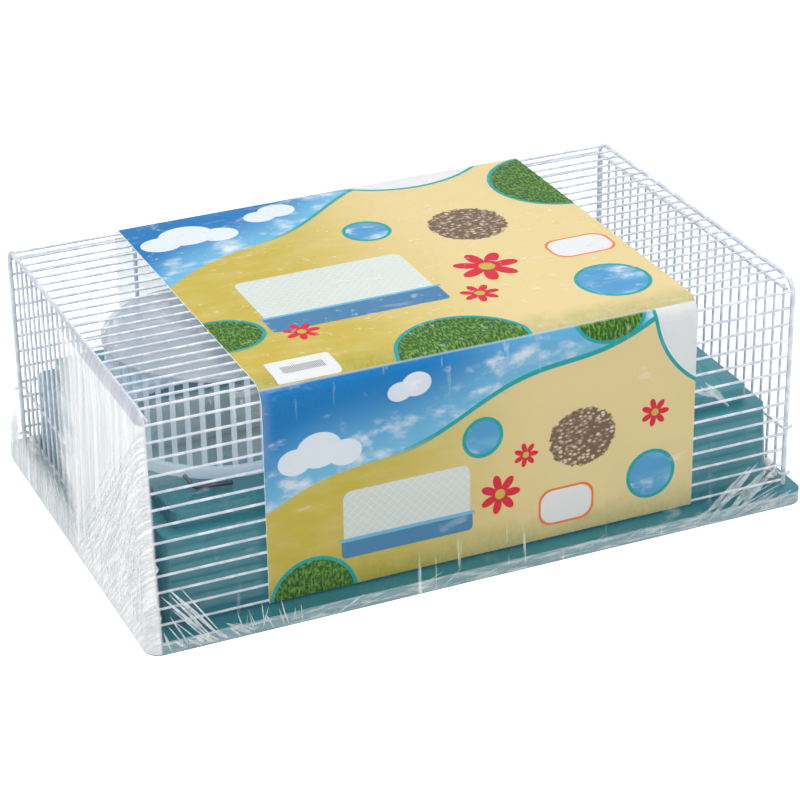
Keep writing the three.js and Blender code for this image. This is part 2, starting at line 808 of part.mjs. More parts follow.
function wheelStand() {
  const top = hubFoot - gap.seat;
  const bore = axle.radius + gap.bore;
  const footTop = floorHeight + stand.footThickness;
  const foot = plate(
    endedRectangle(stand.footLength, stand.footWidth, stand.footWidth / 2, stand.footWidth / 2),
    stand.footThickness,
    [wheelX, wheelY, floorHeight],
  );
  const column = turned([
    [0, footTop - stand.footThickness / 2],
    [stand.footRadius, footTop - stand.footThickness / 2],
    [stand.neckRadius, top],
    [bore, top],
    [bore, top - stand.socketDepth],
    [0, top - stand.socketDepth],
  ], round.hub, [wheelX, wheelY, 0]);
  return foot.add(column);
}

function wheelAxle() {
  const low = hubFoot - stand.socketDepth;
  return turned([
    [0, low],
    [axle.radius, low],
    [axle.radius, wheelHeadFoot],
    [axle.headRadius, wheelHeadFoot],
    [axle.headRadius, wheelHeadFoot + axle.headThickness / 2],
    [axle.radius, wheelHeadFoot + axle.headThickness],
    [0, wheelHeadFoot + axle.headThickness],
  ], round.hub, [wheelX, wheelY, 0]);
}

addPiece('running_wheel', runningWheel(), colours.wheel, 0.2, 0, 0.6);
addPiece('wheel_stand', wheelStand(), colours.tub, 0.3);
addPiece('wheel_axle', wheelAxle(), colours.steel, 0.3, 1);

// The bottle and its drinking tube are modelled upright and laid along the cage.
function laidDown(piece) {
  const laid = piece.rotate([0, 90, 0]);
  return laid.translate([bottleLeft, bottleY, floorHeight + bottle.radius]);
}

const neckFoot = bottle.length - bottle.neckLength;
const capFoot = neckFoot + gap.seat;
const capTop = capFoot + bottle.capLength;
const capRadius = bottle.neckRadius + gap.seat + bottle.capWall;

function bottleBody() {
  const { radius, wall, neckRadius, length, shoulder } = bottle;
  return laidDown(turned([
    [0, 0],
    [radius - wall, 0],
    [radius, wall],
    [radius, neckFoot - shoulder],
    [neckRadius, neckFoot],
    [neckRadius, length],
    [neckRadius - wall, length],
    [neckRadius - wall, neckFoot],
    [radius - wall, neckFoot - shoulder],
    [radius - wall, wall],
    [0, wall],
  ], round.bottle));
}

function bottleCap() {
  const tubeHole = bottle.tubeDiameter / 2 / Math.cos(Math.PI / 12) + gap.bore;
  return laidDown(turned([
    [bottle.neckRadius + gap.seat, capFoot],
    [capRadius, capFoot],
    [capRadius, capTop - bottle.capWall],
    [capRadius - bottle.capWall, capTop],
    [tubeHole, capTop],
    [tubeHole, bottle.length + gap.seat],
    [bottle.neckRadius + gap.seat, bottle.length + gap.seat],
    [bottle.neckRadius + gap.seat, capFoot],
  ], round.bottle));
}

function drinkingTube() {
  const start = bottle.length + gap.seat;
  const turn = THREE.MathUtils.degToRad(bottle.tubeTurn);
  const elbow = capTop + bottle.tubeStraight;
  const tip = [0, tubeAside, elbow + bottle.tubeReach * Math.cos(turn)];
  const stations = bentStations([[0, 0, start], [0, 0, elbow], tip], bottle.tubeBend);
  const tube = wireThrough(stations, bottle.tubeDiameter, 12, bottle.tubeBore);
  const ball = solid(new THREE.IcosahedronGeometry(bottle.ballDiameter / 2, 1));
  const back = bottle.ballDiameter / 2 / bottle.tubeReach;
  const seat = [0, tip[1] * (1 - back), THREE.MathUtils.lerp(tip[2], elbow, back)];
  return [laidDown(tube), laidDown(ball.translate(seat))];
}

addPiece('bottle_body', bottleBody(), colours.bottle, 0.1, 0, 0.4);
addPiece('bottle_cap', bottleCap(), colours.red, 0.35);
const [tubePiece, ballPiece] = drinkingTube();
addPiece('drinking_tube', tubePiece, colours.steel, 0.25, 1);
addPiece('drinking_ball', ballPiece, colours.steel, 0.2, 1);

function hangerRod() {
  const z = floorHeight + rod.diameter / 2;
  const turn = THREE.MathUtils.degToRad(rod.turn);
  const [x, y] = [wheelX - rod.aside, wheelY - wheel.radius - rod.wheelGap];
  const elbow = [x - rod.length * Math.cos(turn), y + rod.length * Math.sin(turn), z];
  const aside = rod.tipReach * Math.cos(turn);
  const tip = [elbow[0] - aside, elbow[1] + aside, z + rod.tipRise];
  return wireThrough(bentStations([[x, y, z], elbow, tip], rod.bend), rod.diameter, 8);
}

function sealingRing() {
  const geometry = new THREE.TorusGeometry(ring.radius, ring.section / 2, 8, round.small);
  const [x, y] = [sheetLength / 2 - ring.rightGap, ring.frontGap - sheetWidth / 2];
  geometry.translate(x, y, floorHeight + ring.section / 2);
  return solid(geometry);
}

function foodBowl() {
  const { radius, footRadius, height, wall, lip } = bowl;
  return turned([
    [0, 0],
    [footRadius, 0],
    [radius - lip, height - lip],
    [radius, height - lip],
    [radius, height],
    [radius - lip - wall, height],
    [footRadius - wall, wall],
    [0, wall],
  ], round.bowl, [bowlX, bowlY, floorHeight]);
}

// The house stands on end as an arch and is cut hollow from below.
function sleepingHouse() {
  const shell = (length, width, height, drop) => {
    const geometry = new THREE.ExtrudeGeometry(arch(width, height + drop), {
      depth: length,
      bevelEnabled: false,
      curveSegments: round.arch,
    });
    geometry.rotateX(Math.PI / 2);
    geometry.rotateZ(Math.PI / 2);
    geometry.translate(-length / 2, 0, -drop);
    return solid(geometry);
  };
  const hollow = shell(
    house.length - 2 * house.wall,
    house.width - 2 * house.wall,
    houseHeight - house.wall,
    overrun,
  );
  const doorHeight = houseHeight * house.doorHeightShare;
  const windowHeight = houseHeight * house.windowHeightShare;
  const doorway = shell(house.length / 2 + overrun, house.doorWidth, doorHeight, overrun)
    .translate([-house.length / 4 - overrun / 2, 0, 0]);
  const window = shell(house.width / 2 + overrun, house.windowWidth, windowHeight, overrun)
    .rotate([0, 0, 90])
    .translate([0, -house.width / 4 - overrun / 2, 0]);
  return shell(house.length, house.width, houseHeight, 0)
    .subtract(hollow)
    .subtract(doorway)
    .subtract(window)
    .translate([houseX, houseY, floorHeight]);
}

addPiece('hanger_rod', hangerRod(), colours.steel, 0.25, 1);
addPiece('sealing_ring', sealingRing(), colours.rust, 0.5);
addPiece('food_bowl', foodBowl(), colours.red, 0.35);
addPiece('sleeping_house', sleepingHouse(), colours.white, 0.4);

const mountTop = floorHeight + propeller.mountHeight;
const propellerFoot = mountTop + gap.seat;
const propellerTop = propellerFoot + propeller.hubHeight;
const bladeRoot = propeller.hubRadius - propeller.rootDepth;

function bladeShape() {
  const { reach, bladeWidth, rootWidth } = propeller;
  const bladeLength = reach - bladeRoot;
  const tipRadius = bladeWidth / 2;
  const shape = new THREE.Shape();
  shape.moveTo(0, -rootWidth / 2);
  shape.lineTo(bladeLength - tipRadius, -tipRadius);
  shape.absarc(bladeLength - tipRadius, 0, tipRadius, -Math.PI / 2, Math.PI / 2);
  shape.lineTo(0, rootWidth / 2);
  return shape;
}

function propellerMount() {
  const { mountRadius, mountFlange, mountNeck, pinRadius, pinDepth } = propeller;
  const bore = pinRadius + gap.bore;
  return turned([
    [0, floorHeight],
    [mountRadius, floorHeight],
    [mountRadius, floorHeight + mountFlange],
    [mountNeck, floorHeight + 2 * mountFlange],
    [mountNeck, mountTop],
    [bore, mountTop],
    [bore, mountTop - pinDepth],
    [0, mountTop - pinDepth],
  ], round.hub, [propellerX, propellerY, 0]);
}

function propellerBlades() {
  const { blades, hubRadius, pinRadius, bladeThickness, hubHeight } = propeller;
  const [x, y] = [propellerX, propellerY];
  const middle = propellerFoot + hubHeight / 2 - bladeThickness / 2;
  const pieces = [drum(hubRadius, propellerFoot, propellerTop, round.hub, x, y)];
  for (let k = 0; k < blades; k += 1) {
    const turn = k * 2 * Math.PI / blades;
    const place = [x + bladeRoot * Math.cos(turn), y + bladeRoot * Math.sin(turn), middle];
    pieces.push(plate(bladeShape(), bladeThickness, place, turn));
  }
  const boreRadius = pinRadius + gap.bore;
  const bore = drum(boreRadius, propellerFoot - overrun, propellerTop + overrun, round.small, x, y);
  return joined(pieces).subtract(bore);
}

function propellerPin() {
  const { pinRadius, pinHeadRadius, pinHeadHeight, pinDepth } = propeller;
  const low = mountTop - pinDepth + gap.seat;
  const headFoot = propellerTop + gap.seat;
  return turned([
    [0, low],
    [pinRadius, low],
    [pinRadius, headFoot],
    [pinHeadRadius, headFoot],
    [pinHeadRadius, headFoot + pinHeadHeight / 2],
    [pinRadius, headFoot + pinHeadHeight],
    [0, headFoot + pinHeadHeight],
  ], round.small, [propellerX, propellerY, 0]);
}

addPiece('propeller_mount', propellerMount(), colours.white, 0.4);
addPiece('propeller', propellerBlades(), colours.red, 0.3);
addPiece('propeller_pin', propellerPin(), colours.steel, 0.3, 1);

const wingPlaces = [-1, 1].map((side) => wingsY + side * (wing.chord + wing.gapBetween) / 2);
const wingTop = floorHeight + wing.thickness + gap.seat;

function wingPlate(y, turn) {
  const outline = endedRectangle(wing.span, wing.chord, wing.rootCorner, wing.corner);
  return plate(outline, wing.thickness, [wingX, y, floorHeight], turn);
}

function tailFin() {
  const { finLength, finHeight, finThickness, corner } = tail;
  const shape = new THREE.Shape();
  shape.moveTo(-finLength / 2, -finHeight / 2);
  shape.lineTo(finLength / 2, -finHeight / 2);
  shape.lineTo(finLength / 2, finHeight / 2 - corner);
  shape.absarc(finLength / 2 - corner, finHeight / 2 - corner, corner, 0, Math.PI / 2);
  shape.lineTo(-finLength / 2 + finHeight / 2, finHeight / 2);
  return plate(shape, finThickness, [wingX, wingPlaces[0], wingTop]);
}

function tailPlane() {
  const outline = endedRectangle(tail.planeSpan, tail.planeChord, tail.corner, tail.corner);
  const z = wingTop + tail.finThickness + gap.seat;
  return plate(outline, tail.finThickness, [wingX, wingPlaces[0], z]);
}

// The clear dome stands on the rear wing, open below.
function clearDome() {
  const { radius, height, wall, brim } = dome;
  const steps = round.small / 3;
  const bulge = (size, rise) => Array.from({ length: steps }, (_, k) => {
    const angle = k / steps * Math.PI / 2;
    return [size * Math.cos(angle), brim + (rise - brim) * Math.sin(angle)];
  });
  return turned([
    [radius - wall, 0],
    [radius + brim, 0],
    [radius + brim, wall],
    [radius, wall],
    ...bulge(radius, height),
    [0, height],
    [0, height - wall],
    ...bulge(radius - wall, height - wall).reverse(),
    [radius - wall, 0],
  ], round.dome, [wingX, wingPlaces[1], wingTop]);
}

addPiece('front_wing', wingPlate(wingPlaces[0], 0), colours.paleBlue, 0.35);
addPiece('rear_wing', wingPlate(wingPlaces[1], Math.PI), colours.paleBlue, 0.35);
addPiece('tail_fin', tailFin(), colours.grey, 0.4);
addPiece('tail_plane', tailPlane(), colours.red, 0.35);
addPiece('clear_dome', clearDome(), colours.paleBlue, 0.1, 0, 0.35);

export default model;
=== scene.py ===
"""A small hamster cage as it is packed for sale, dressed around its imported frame.

The tub lies upside down, the wire body stands over it, the running wheel and the other
accessories lie on the tub's upturned floor, and a printed card sleeve and a shrunk film
go over everything. Lengths are in metres: X runs along the cage, the front is at -Y.
"""

from __future__ import annotations

import logging
import math
import random
from dataclasses import dataclass
from enum import Enum
from typing import Iterable, Sequence, Union

import bpy
from mathutils import Matrix, Vector, noise


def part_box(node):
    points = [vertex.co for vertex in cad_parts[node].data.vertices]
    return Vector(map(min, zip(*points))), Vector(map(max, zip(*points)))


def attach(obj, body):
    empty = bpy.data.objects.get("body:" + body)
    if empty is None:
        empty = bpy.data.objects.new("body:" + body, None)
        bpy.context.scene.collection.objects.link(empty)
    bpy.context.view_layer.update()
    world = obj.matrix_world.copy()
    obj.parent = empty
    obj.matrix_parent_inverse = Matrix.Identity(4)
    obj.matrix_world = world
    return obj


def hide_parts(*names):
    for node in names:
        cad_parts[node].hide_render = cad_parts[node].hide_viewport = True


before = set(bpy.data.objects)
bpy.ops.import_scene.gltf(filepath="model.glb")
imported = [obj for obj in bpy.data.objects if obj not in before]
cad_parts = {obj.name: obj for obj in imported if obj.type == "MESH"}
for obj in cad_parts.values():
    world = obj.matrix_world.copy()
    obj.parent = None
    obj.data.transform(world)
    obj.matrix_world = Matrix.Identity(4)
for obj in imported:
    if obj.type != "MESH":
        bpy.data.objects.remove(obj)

LOG = logging.getLogger("hamster_cage")
PRINT_EDGE = 0.0003
DOUBLE = 2e-6
HAIR = 1e-5
DOT = 0.001
BEND_STEP = 15
BLACK = (0, 0, 0, 1)
WHITE_LIGHT = (1, 1, 1, 1)

Piece = bpy.types.Object
Material = bpy.types.Material
Socket = bpy.types.NodeSocket
Value = Union[float, Socket]
Place = Sequence[float]
Pair = tuple[float, float]
Spot = tuple[float, ...]
Colour = tuple[float, float, float, float]
shift = Matrix.Translation


def rgb(red: int, green: int, blue: int) -> Colour:
    """Return a colour, given as it looks on a screen from 0 to 255, in linear light."""
    def linear(share: float) -> float:
        """Return one channel in linear light."""
        return share / 12.92 if share <= 0.04045 else ((share + 0.055) / 1.055) ** 2.4
    return (linear(red / 255), linear(green / 255), linear(blue / 255), 1.0)


class Body(Enum):
    """The bodies of the frame that pieces ride on."""

    BASE = "base"
    WIRES = "wire_body"
    PACKING = "packing"
    DOOR = "door"
    WHEEL = "wheel"
    PROPELLER = "propeller_spinner"
    CAP = "cap_and_tube"


class Slot(Enum):
    """The record's material slots."""

    WIRE = "wire_paint"
    TUB = "tub_plastic"
    CLIP = "clip_plastic"
    CARD = "printed_card"
    FILM = "clear_film"
    WHEEL = "wheel_plastic"
    WHITE = "white_plastic"
    STEEL = "steel"
    BOTTLE = "bottle_plastic"
    RED = "red_plastic"
    RUBBER = "brown_rubber"
    PALE_BLUE = "pale_blue_plastic"
    GREY = "grey_plastic"
    CLEAR = "clear_plastic"


# The modelling bench.


def open_edit() -> None:
    """Open the active piece in edit mode."""
    bpy.ops.object.mode_set(mode="EDIT")


def leave_edit() -> None:
    """Leave edit mode."""
    bpy.ops.object.mode_set(mode="OBJECT")


def deselect() -> None:
    """Leave edit mode and deselect everything."""
    if bpy.context.object and bpy.context.object.mode != "OBJECT":
        leave_edit()
    bpy.ops.object.select_all(action="DESELECT")


def activate(piece: Piece) -> None:
    """Make one piece the only selected and the active one."""
    deselect()
    piece.select_set(True)
    bpy.context.view_layer.objects.active = piece


def pick_all() -> None:
    """Select the whole mesh, in edit mode."""
    bpy.ops.mesh.select_all(action="SELECT")


def pick_rims() -> None:
    """Select only the mesh's open rims, in edit mode."""
    bpy.ops.mesh.select_all(action="DESELECT")
    bpy.ops.mesh.select_non_manifold()


def apply_place() -> None:
    """Put the new primitive's place, turn and size into its mesh."""
    bpy.ops.object.transform_apply(location=True, rotation=True, scale=True)


def into_edit() -> None:
    """Put the new primitive's place into its mesh and open it in edit mode, all selected."""
    apply_place()
    open_edit()
    bpy.ops.mesh.select_mode(type="VERT")
    pick_all()


def start_at(place: Place) -> None:
    """Start a new piece from a single point at a place, in edit mode."""
    deselect()
    bpy.ops.mesh.primitive_plane_add(size=DOT, location=place)
    into_edit()
    bpy.ops.mesh.merge(type="CENTER")


def pull(step: Place, times: int = 1) -> None:
    """Extrude what is selected by a step, a number of times."""
    for _ in range(times):
        bpy.ops.mesh.extrude_region_move(TRANSFORM_OT_translate={"value": step})


def close_ends() -> None:
    """Fill the selected end of a tube, and then its other end."""
    bpy.ops.mesh.edge_face_add()
    pick_rims()
    bpy.ops.mesh.edge_face_add()


def tidy_mesh() -> None:
    """Merge doubles and point all faces outwards, in edit mode."""
    pick_all()
    bpy.ops.mesh.remove_doubles(threshold=DOUBLE)
    bpy.ops.mesh.normals_make_consistent(inside=False)


def settled(name: str) -> Piece:
    """Tidy the open mesh, leave edit mode and return the piece under its name."""
    tidy_mesh()
    leave_edit()
    bpy.context.object.name = name
    return bpy.context.object


def modify(piece: Piece, kind: str, **settings: object) -> None:
    """Add a modifier to a piece and apply it.

    Args:
        piece: the piece.
        kind: the modifier's type.
        settings: its settings.
    """
    activate(piece)
    modifier = piece.modifiers.new(kind.lower(), kind)
    for key, value in settings.items():
        setattr(modifier, key, value)
    bpy.ops.object.modifier_apply(modifier=modifier.name)


def bevel(piece: Piece, width: float, angle: float = 50, segments: int = 2) -> None:
    """Round a piece's edges that are sharper than an angle in degrees."""
    modify(piece, "BEVEL", width=width, segments=segments, limit_method="ANGLE",
           angle_limit=math.radians(angle), use_clamp_overlap=True)


def moved(piece: Piece, move: Matrix) -> Piece:
    """Return a piece with its mesh moved by a matrix."""
    piece.data.transform(move)
    return piece


def copies(piece: Piece, moves: Iterable[Matrix]) -> list[Piece]:
    """Return copies of a piece with their own meshes, each moved by a matrix.

    Args:
        piece: the pattern piece.
        moves: where the copies go.
    """
    made = []
    for move in moves:
        twin = piece.copy()
        twin.data = piece.data.copy()
        bpy.context.collection.objects.link(twin)
        made.append(moved(twin, move))
    return made


def repeated(piece: Piece, moves: Iterable[Matrix]) -> list[Piece]:
    """Return copies of a piece at each move, and delete the pattern piece."""
    made = copies(piece, moves)
    bpy.data.objects.remove(piece, do_unlink=True)
    return made


def around(count: int) -> list[Matrix]:
    """Return the turns of things that stand evenly round the vertical axis."""
    return [Matrix.Rotation(2 * math.pi * k / count, 4, "Z") for k in range(count)]


def joined(parts: Sequence[Piece], name: str) -> Piece:
    """Join parts to one named object and return it.

    Args:
        parts: the parts, which become one.
        name: the piece's name.
    """
    activate(parts[0])
    for part in parts:
        part.select_set(True)
    if len(parts) > 1:
        bpy.ops.object.join()
    whole = bpy.context.object
    whole.name = name
    whole.data.name = name
    return whole


def wire(diameter: float, start: Place, moves: Sequence[tuple], sides: int = 10,
         wall: float = 0.0) -> Piece:
    """Pull a round wire or tube from a ring of points.

    Args:
        diameter: the wire's diameter.
        start: where it starts.
        moves: its runs in order, each ("run", vector) or ("bend", centre, axis, degrees), the
            bend right-handed about its axis. The first is a run.
        sides: the sides of its section.
        wall: the wall of a tube, or 0 for a solid wire.

    Returns:
        The closed wire or tube.
    """
    deselect()
    turn = Vector((0, 0, 1)).rotation_difference(Vector(moves[0][1])).to_euler()
    bpy.ops.mesh.primitive_circle_add(vertices=sides, radius=diameter / 2, location=start,
                                      rotation=turn)
    into_edit()
    for move in moves:
        if move[0] == "run":
            pull(move[1])
        else:
            steps = max(3, round(abs(move[3]) / BEND_STEP))
            bpy.ops.mesh.spin(steps=steps, angle=-math.radians(move[3]), center=move[1], axis=move[2])
    if not wall:
        close_ends()
    piece = settled("wire")
    if wall:
        modify(piece, "SOLIDIFY", thickness=wall, offset=-1)
    bevel(piece, (wall or diameter) / 8, angle=60)
    return piece


def rod(diameter: float, corners: Sequence[Place], bend: float = 0.0, sides: int = 10,
        wall: float = 0.0) -> Piece:
    """Pull a wire along a line of corners, with its inner corners bent to a radius.

    Args:
        diameter: the wire's diameter.
        corners: the line.
        bend: the radius of its bends, along the wire's middle.
        sides: the sides of its section.
        wall: the wall of a tube, or 0 for a solid wire.

    Returns:
        The closed wire or tube.
    """
    points = [Vector(corner) for corner in corners]
    here, moves = points[0], []
    for before, corner, after in zip(points, points[1:], points[2:]):
        back, ahead = (before - corner).normalized(), (after - corner).normalized()
        half = back.angle(ahead) / 2
        trim = bend / math.tan(half)
        centre = corner + (back + ahead).normalized() * bend / math.sin(half)
        moves.append(("run", corner + back * trim - here))
        moves.append(("bend", centre, (-back).cross(ahead).normalized(), 180 - 2 * math.degrees(half)))
        here = corner + ahead * trim
    moves.append(("run", points[-1] - here))
    return wire(diameter, points[0], moves, sides, wall)


def lathe(name: str, profile: Sequence[Pair], steps: int, place: Place = (0, 0, 0),
          edge: float = 0.0004) -> Piece:
    """Turn a profile of (radius, height) points about the vertical axis through a place.

    Args:
        name: the piece's name.
        profile: the points, which start and end on the axis or close on themselves.
        steps: the steps of the full turn.
        place: the axis' place and the profile's zero height.
        edge: the rounding of its sharp edges.

    Returns:
        The turned piece.
    """
    centre = Vector(place)
    points = [centre + Vector((radius, 0, height)) for radius, height in profile]
    start_at(points[0])
    for here, there in zip(points, points[1:]):
        pull(there - here)
    pick_all()
    bpy.ops.mesh.spin(steps=steps, angle=2 * math.pi, center=centre, axis=(0, 0, 1))
    piece = settled(name)
    bevel(piece, edge)
    return piece


def rounded_slab(name: str, size: Place, corner: float, place: Place, edge: float = 0.0006,
                 steps: int = 8, right_corner: float = 0.0) -> Piece:
    """Make a flat slab with round corners and soft edges.

    Args:
        name: the piece's name.
        size: its length, width and thickness.
        corner: the radius of its corners.
        place: the middle of its underside.
        edge: the rounding of its edges.
        steps: the steps of a corner.
        right_corner: the radius of the corners at its +X end, where it differs.

    Returns:
        The slab.
    """
    deselect()
    bpy.ops.mesh.primitive_plane_add(size=1, location=place)
    bpy.context.object.scale = (size[0], size[1], 1)
    into_edit()
    for side, radius in ((-1, corner), (1, right_corner or corner)):
        leave_edit()
        data = bpy.context.object.data
        end = side * (size[0] / 2) + place[0]
        for vertex in data.vertices:
            vertex.select = abs(vertex.co.x - end) < HAIR
        for edge_line in data.edges:
            edge_line.select = all(data.vertices[k].select for k in edge_line.vertices)
        for face in data.polygons:
            face.select = False
        open_edit()
        bpy.ops.mesh.select_mode(type="VERT")
        bpy.ops.mesh.bevel(offset=radius, segments=steps, affect="VERTICES")
    pick_all()
    pull((0, 0, size[2]))
    piece = settled(name)
    bevel(piece, edge)
    return piece


def bridged(name: str, levels: Sequence[Spot], steps: int) -> Piece:
    """Make a shell from rounded rectangles, each bridged to the next, with the last one filled.

    The rings are bridged well apart, since rings that lie in one plane are paired wrongly, and
    brought to their heights afterwards.

    Args:
        name: the piece's name.
        levels: the rectangles in order, each a length, width, corner radius and height.
        steps: the steps of a corner.

    Returns:
        The shell, open at its first level, with its faces pointing outwards.
    """
    rings = []
    for order, (length, width, corner, _) in enumerate(levels):
        deselect()
        bpy.ops.mesh.primitive_plane_add(size=1, location=(0, 0, order))
        bpy.context.object.scale = (length, width, 1)
        into_edit()
        bpy.ops.mesh.bevel(offset=corner, segments=steps, affect="VERTICES")
        pick_all()
        bpy.ops.mesh.delete(type="ONLY_FACE")
        leave_edit()
        rings.append(bpy.context.object)
    count = len(rings[0].data.vertices)
    piece = joined(rings, name)
    for first in range(len(levels) - 1):
        pick_rings(piece, count, first, 2)
        bpy.ops.mesh.bridge_edge_loops()
        leave_edit()
    pick_rings(piece, count, len(levels) - 1, 1)
    bpy.ops.mesh.edge_face_add()
    pick_all()
    bpy.ops.mesh.normals_make_consistent(inside=False)
    leave_edit()
    side = max(piece.data.polygons, key=lambda face: abs(face.normal.x) * face.area)
    if side.normal.x * side.center.x < 0:
        open_edit()
        bpy.ops.mesh.flip_normals()
        leave_edit()
    for vertex in piece.data.vertices:
        vertex.co.z = levels[vertex.index // count][3]
    return piece


def pick_rings(piece: Piece, count: int, first: int, rings: int) -> None:
    """Select some rings of a shell and open it in edit mode.

    Args:
        piece: the shell, whose vertices lie in order in rings.
        count: the vertices of a ring.
        first: the first ring to select.
        rings: how many rings to select.
    """
    for vertex in piece.data.vertices:
        vertex.select = first <= vertex.index // count < first + rings
    for edge in piece.data.edges:
        low, high = (index // count for index in edge.vertices)
        edge.select = low == high and first <= low < first + rings
    for face in piece.data.polygons:
        face.select = False
    open_edit()
    bpy.ops.mesh.select_mode(type="EDGE")


@dataclass(frozen=True)
class Finish:
    """A material with the record's slot that it belongs to."""

    material: Material
    slot: Slot


def dress(piece: Piece, finish: Finish, *nodes: str, body: Union[Body, str] = Body.BASE,
          angle: float = 40) -> None:
    """Shade a finished piece, give it its material and body, and hide the frame's nodes that it stands for.

    Args:
        piece: the piece.
        finish: what it is made of.
        nodes: the frame's nodes that it replaces.
        body: the body that it rides on.
        angle: the angle in degrees under which an edge is shaded smooth.
    """
    activate(piece)
    bpy.ops.object.shade_smooth_by_angle(angle=math.radians(angle))
    piece.data.materials.clear()
    piece.data.materials.append(finish.material)
    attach(piece, body.value if isinstance(body, Body) else body)
    if nodes:
        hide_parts(*nodes)
    LOG.info("%s: %d faces", piece.name, len(piece.data.polygons))


# Materials.


class Graph:
    """Writes the nodes of a material or a node group."""

    def __init__(self, tree: bpy.types.NodeTree, material: Material | None = None) -> None:
        """Start on a node tree, which may be a material's."""
        self.tree = tree
        self.material = material
        self.shader = next((node for node in tree.nodes if node.type == "BSDF_PRINCIPLED"), None)

    def feed(self, socket: Socket, value: object) -> None:
        """Link a socket into an input, or set the input's plain value."""
        if isinstance(value, bpy.types.NodeSocket):
            self.tree.links.new(value, socket)
        else:
            socket.default_value = value

    def add(self, kind: str, inputs: dict | None = None, **settings: object) -> bpy.types.Node:
        """Add a node.

        Args:
            kind: the node's type, without the ShaderNode at its start.
            inputs: values or sockets for its inputs, by name or number.
            settings: its settings.

        Returns:
            The node.
        """
        node = self.tree.nodes.new("ShaderNode" + kind)
        for key, value in settings.items():
            setattr(node, key, value)
        for key, value in (inputs or {}).items():
            self.feed(node.inputs[key], value)
        return node

    def math(self, operation: str, *values: Value, clamp: bool = False) -> Socket:
        """Return the result of a Math node on the values."""
        node = self.add("Math", operation=operation, use_clamp=clamp)
        for socket, value in zip(node.inputs, values):
            self.feed(socket, value)
        return node.outputs[0]

    def smooth(self, value: Value, low: float, high: float) -> Socket:
        """Return 0 where the value is at low, 1 where it is at high, and a soft step between."""
        inputs = {"Value": value, "From Min": low, "From Max": high}
        return self.add("MapRange", inputs, interpolation_type="SMOOTHSTEP").outputs[0]

    def mix(self, mask: Value, first: object, second: object) -> Socket:
        """Return a colour that goes from the first to the second with the mask."""
        return self.add("Mix", {0: mask, 6: first, 7: second}, data_type="RGBA").outputs[2]

    def noise(self, vector: Socket, scale: float, detail: float = 2, rough: float = 0.5) -> Socket:
        """Return a noise from 0 to 1 over a vector."""
        inputs = {"Vector": vector, "Scale": scale, "Detail": detail, "Roughness": rough}
        return self.add("TexNoise", inputs).outputs[0]

    def vector(self, operation: str, *values: object) -> Socket:
        """Return the vector that a Vector Math node makes of the values."""
        return self.add("VectorMath", dict(enumerate(values)), operation=operation).outputs[0]

    def scaled(self, vector: Socket, size: Place) -> Socket:
        """Return a vector scaled along each axis."""
        return self.vector("MULTIPLY", vector, size)

    def place(self) -> Socket:
        """Return the place on the piece, in metres."""
        return self.add("TexCoord").outputs["Object"]

    def axes(self, vector: Socket) -> Sequence[Socket]:
        """Return a vector's three parts."""
        return self.add("SeparateXYZ", {0: vector}).outputs

    def length(self, vector: Socket) -> Socket:
        """Return the length of a vector."""
        return self.add("VectorMath", {0: vector}, operation="LENGTH").outputs["Value"]

    def offset(self, place: Socket, centre: Pair, stretch: float = 1.0) -> Socket:
        """Return the place seen from a centre on a flat print, with its second axis stretched."""
        away = self.vector("SUBTRACT", place, (*centre, 0))
        return away if stretch == 1.0 else self.scaled(away, (1, stretch, 1))

    def disc(self, place: Socket, centre: Pair, radius: float, stretch: float = 1.0) -> Socket:
        """Return 1 inside a printed disc or oval and 0 outside."""
        away = self.length(self.offset(place, centre, stretch))
        return self.smooth(away, radius + PRINT_EDGE, radius)

    def slab(self, place: Socket, centre: Pair, half: Pair, corner: float) -> Socket:
        """Return 1 inside a printed rectangle with round corners and 0 outside.

        Args:
            place: the place on the print.
            centre: the middle of the motif.
            half: half its length and width.
            corner: the radius of its corners.
        """
        away = self.vector("ABSOLUTE", self.offset(place, centre))
        over = self.vector("SUBTRACT", away, (half[0] - corner, half[1] - corner, 0))
        over = self.vector("MAXIMUM", over, (0, 0, 0))
        return self.smooth(self.length(over), corner + PRINT_EDGE, corner)

    def flower(self, place: Socket, centre: Pair, radius: float, petals: int) -> Socket:
        """Return 1 inside a printed flower with round petals and 0 outside.

        Args:
            place: the place on the print.
            centre: the middle of the motif.
            radius: its radius.
            petals: the number of its petals.
        """
        seen = self.offset(place, centre)
        axes = self.axes(seen)
        angle = self.math("ARCTAN2", axes[1], axes[0])
        petal = self.math("ABSOLUTE", self.math("COSINE", self.both(angle, petals / 2)))
        reach = self.line(petal, 0.62 * radius, 0.38 * radius)
        return self.smooth(self.math("SUBTRACT", self.length(seen), reach), PRINT_EDGE, 0.0)

    def both(self, first: Value, second: Value) -> Socket:
        """Return the part that two masks share."""
        return self.math("MULTIPLY", first, second)

    def line(self, value: Value, slope: Value, start: Value) -> Socket:
        """Return a value times a slope, plus a start."""
        return self.math("MULTIPLY_ADD", value, slope, start)

    def most(self, first: Value, *others: Value) -> Socket:
        """Return the greatest of some values."""
        for other in others:
            first = self.math("MAXIMUM", first, other)
        return first

    def bump(self, height: Socket, distance: float, strength: float = 1) -> Socket:
        """Return a normal that follows a height."""
        inputs = {"Height": height, "Distance": distance, "Strength": strength}
        return self.add("Bump", inputs).outputs[0]

    def group(self, tree: bpy.types.NodeTree, **inputs: object) -> bpy.types.Node:
        """Add a node group and return its node. Input names have underscores for spaces.

        Args:
            tree: the node group.
            inputs: values or sockets for its inputs.
        """
        node = self.add("Group")
        node.node_tree = tree
        for key, value in inputs.items():
            self.feed(node.inputs[key.replace("_", " ")], value)
        return node

    def write(self, **inputs: object) -> None:
        """Feed the material's shader. Input names have underscores for spaces."""
        for key, value in inputs.items():
            self.feed(self.shader.inputs[key.replace("_", " ")], value)

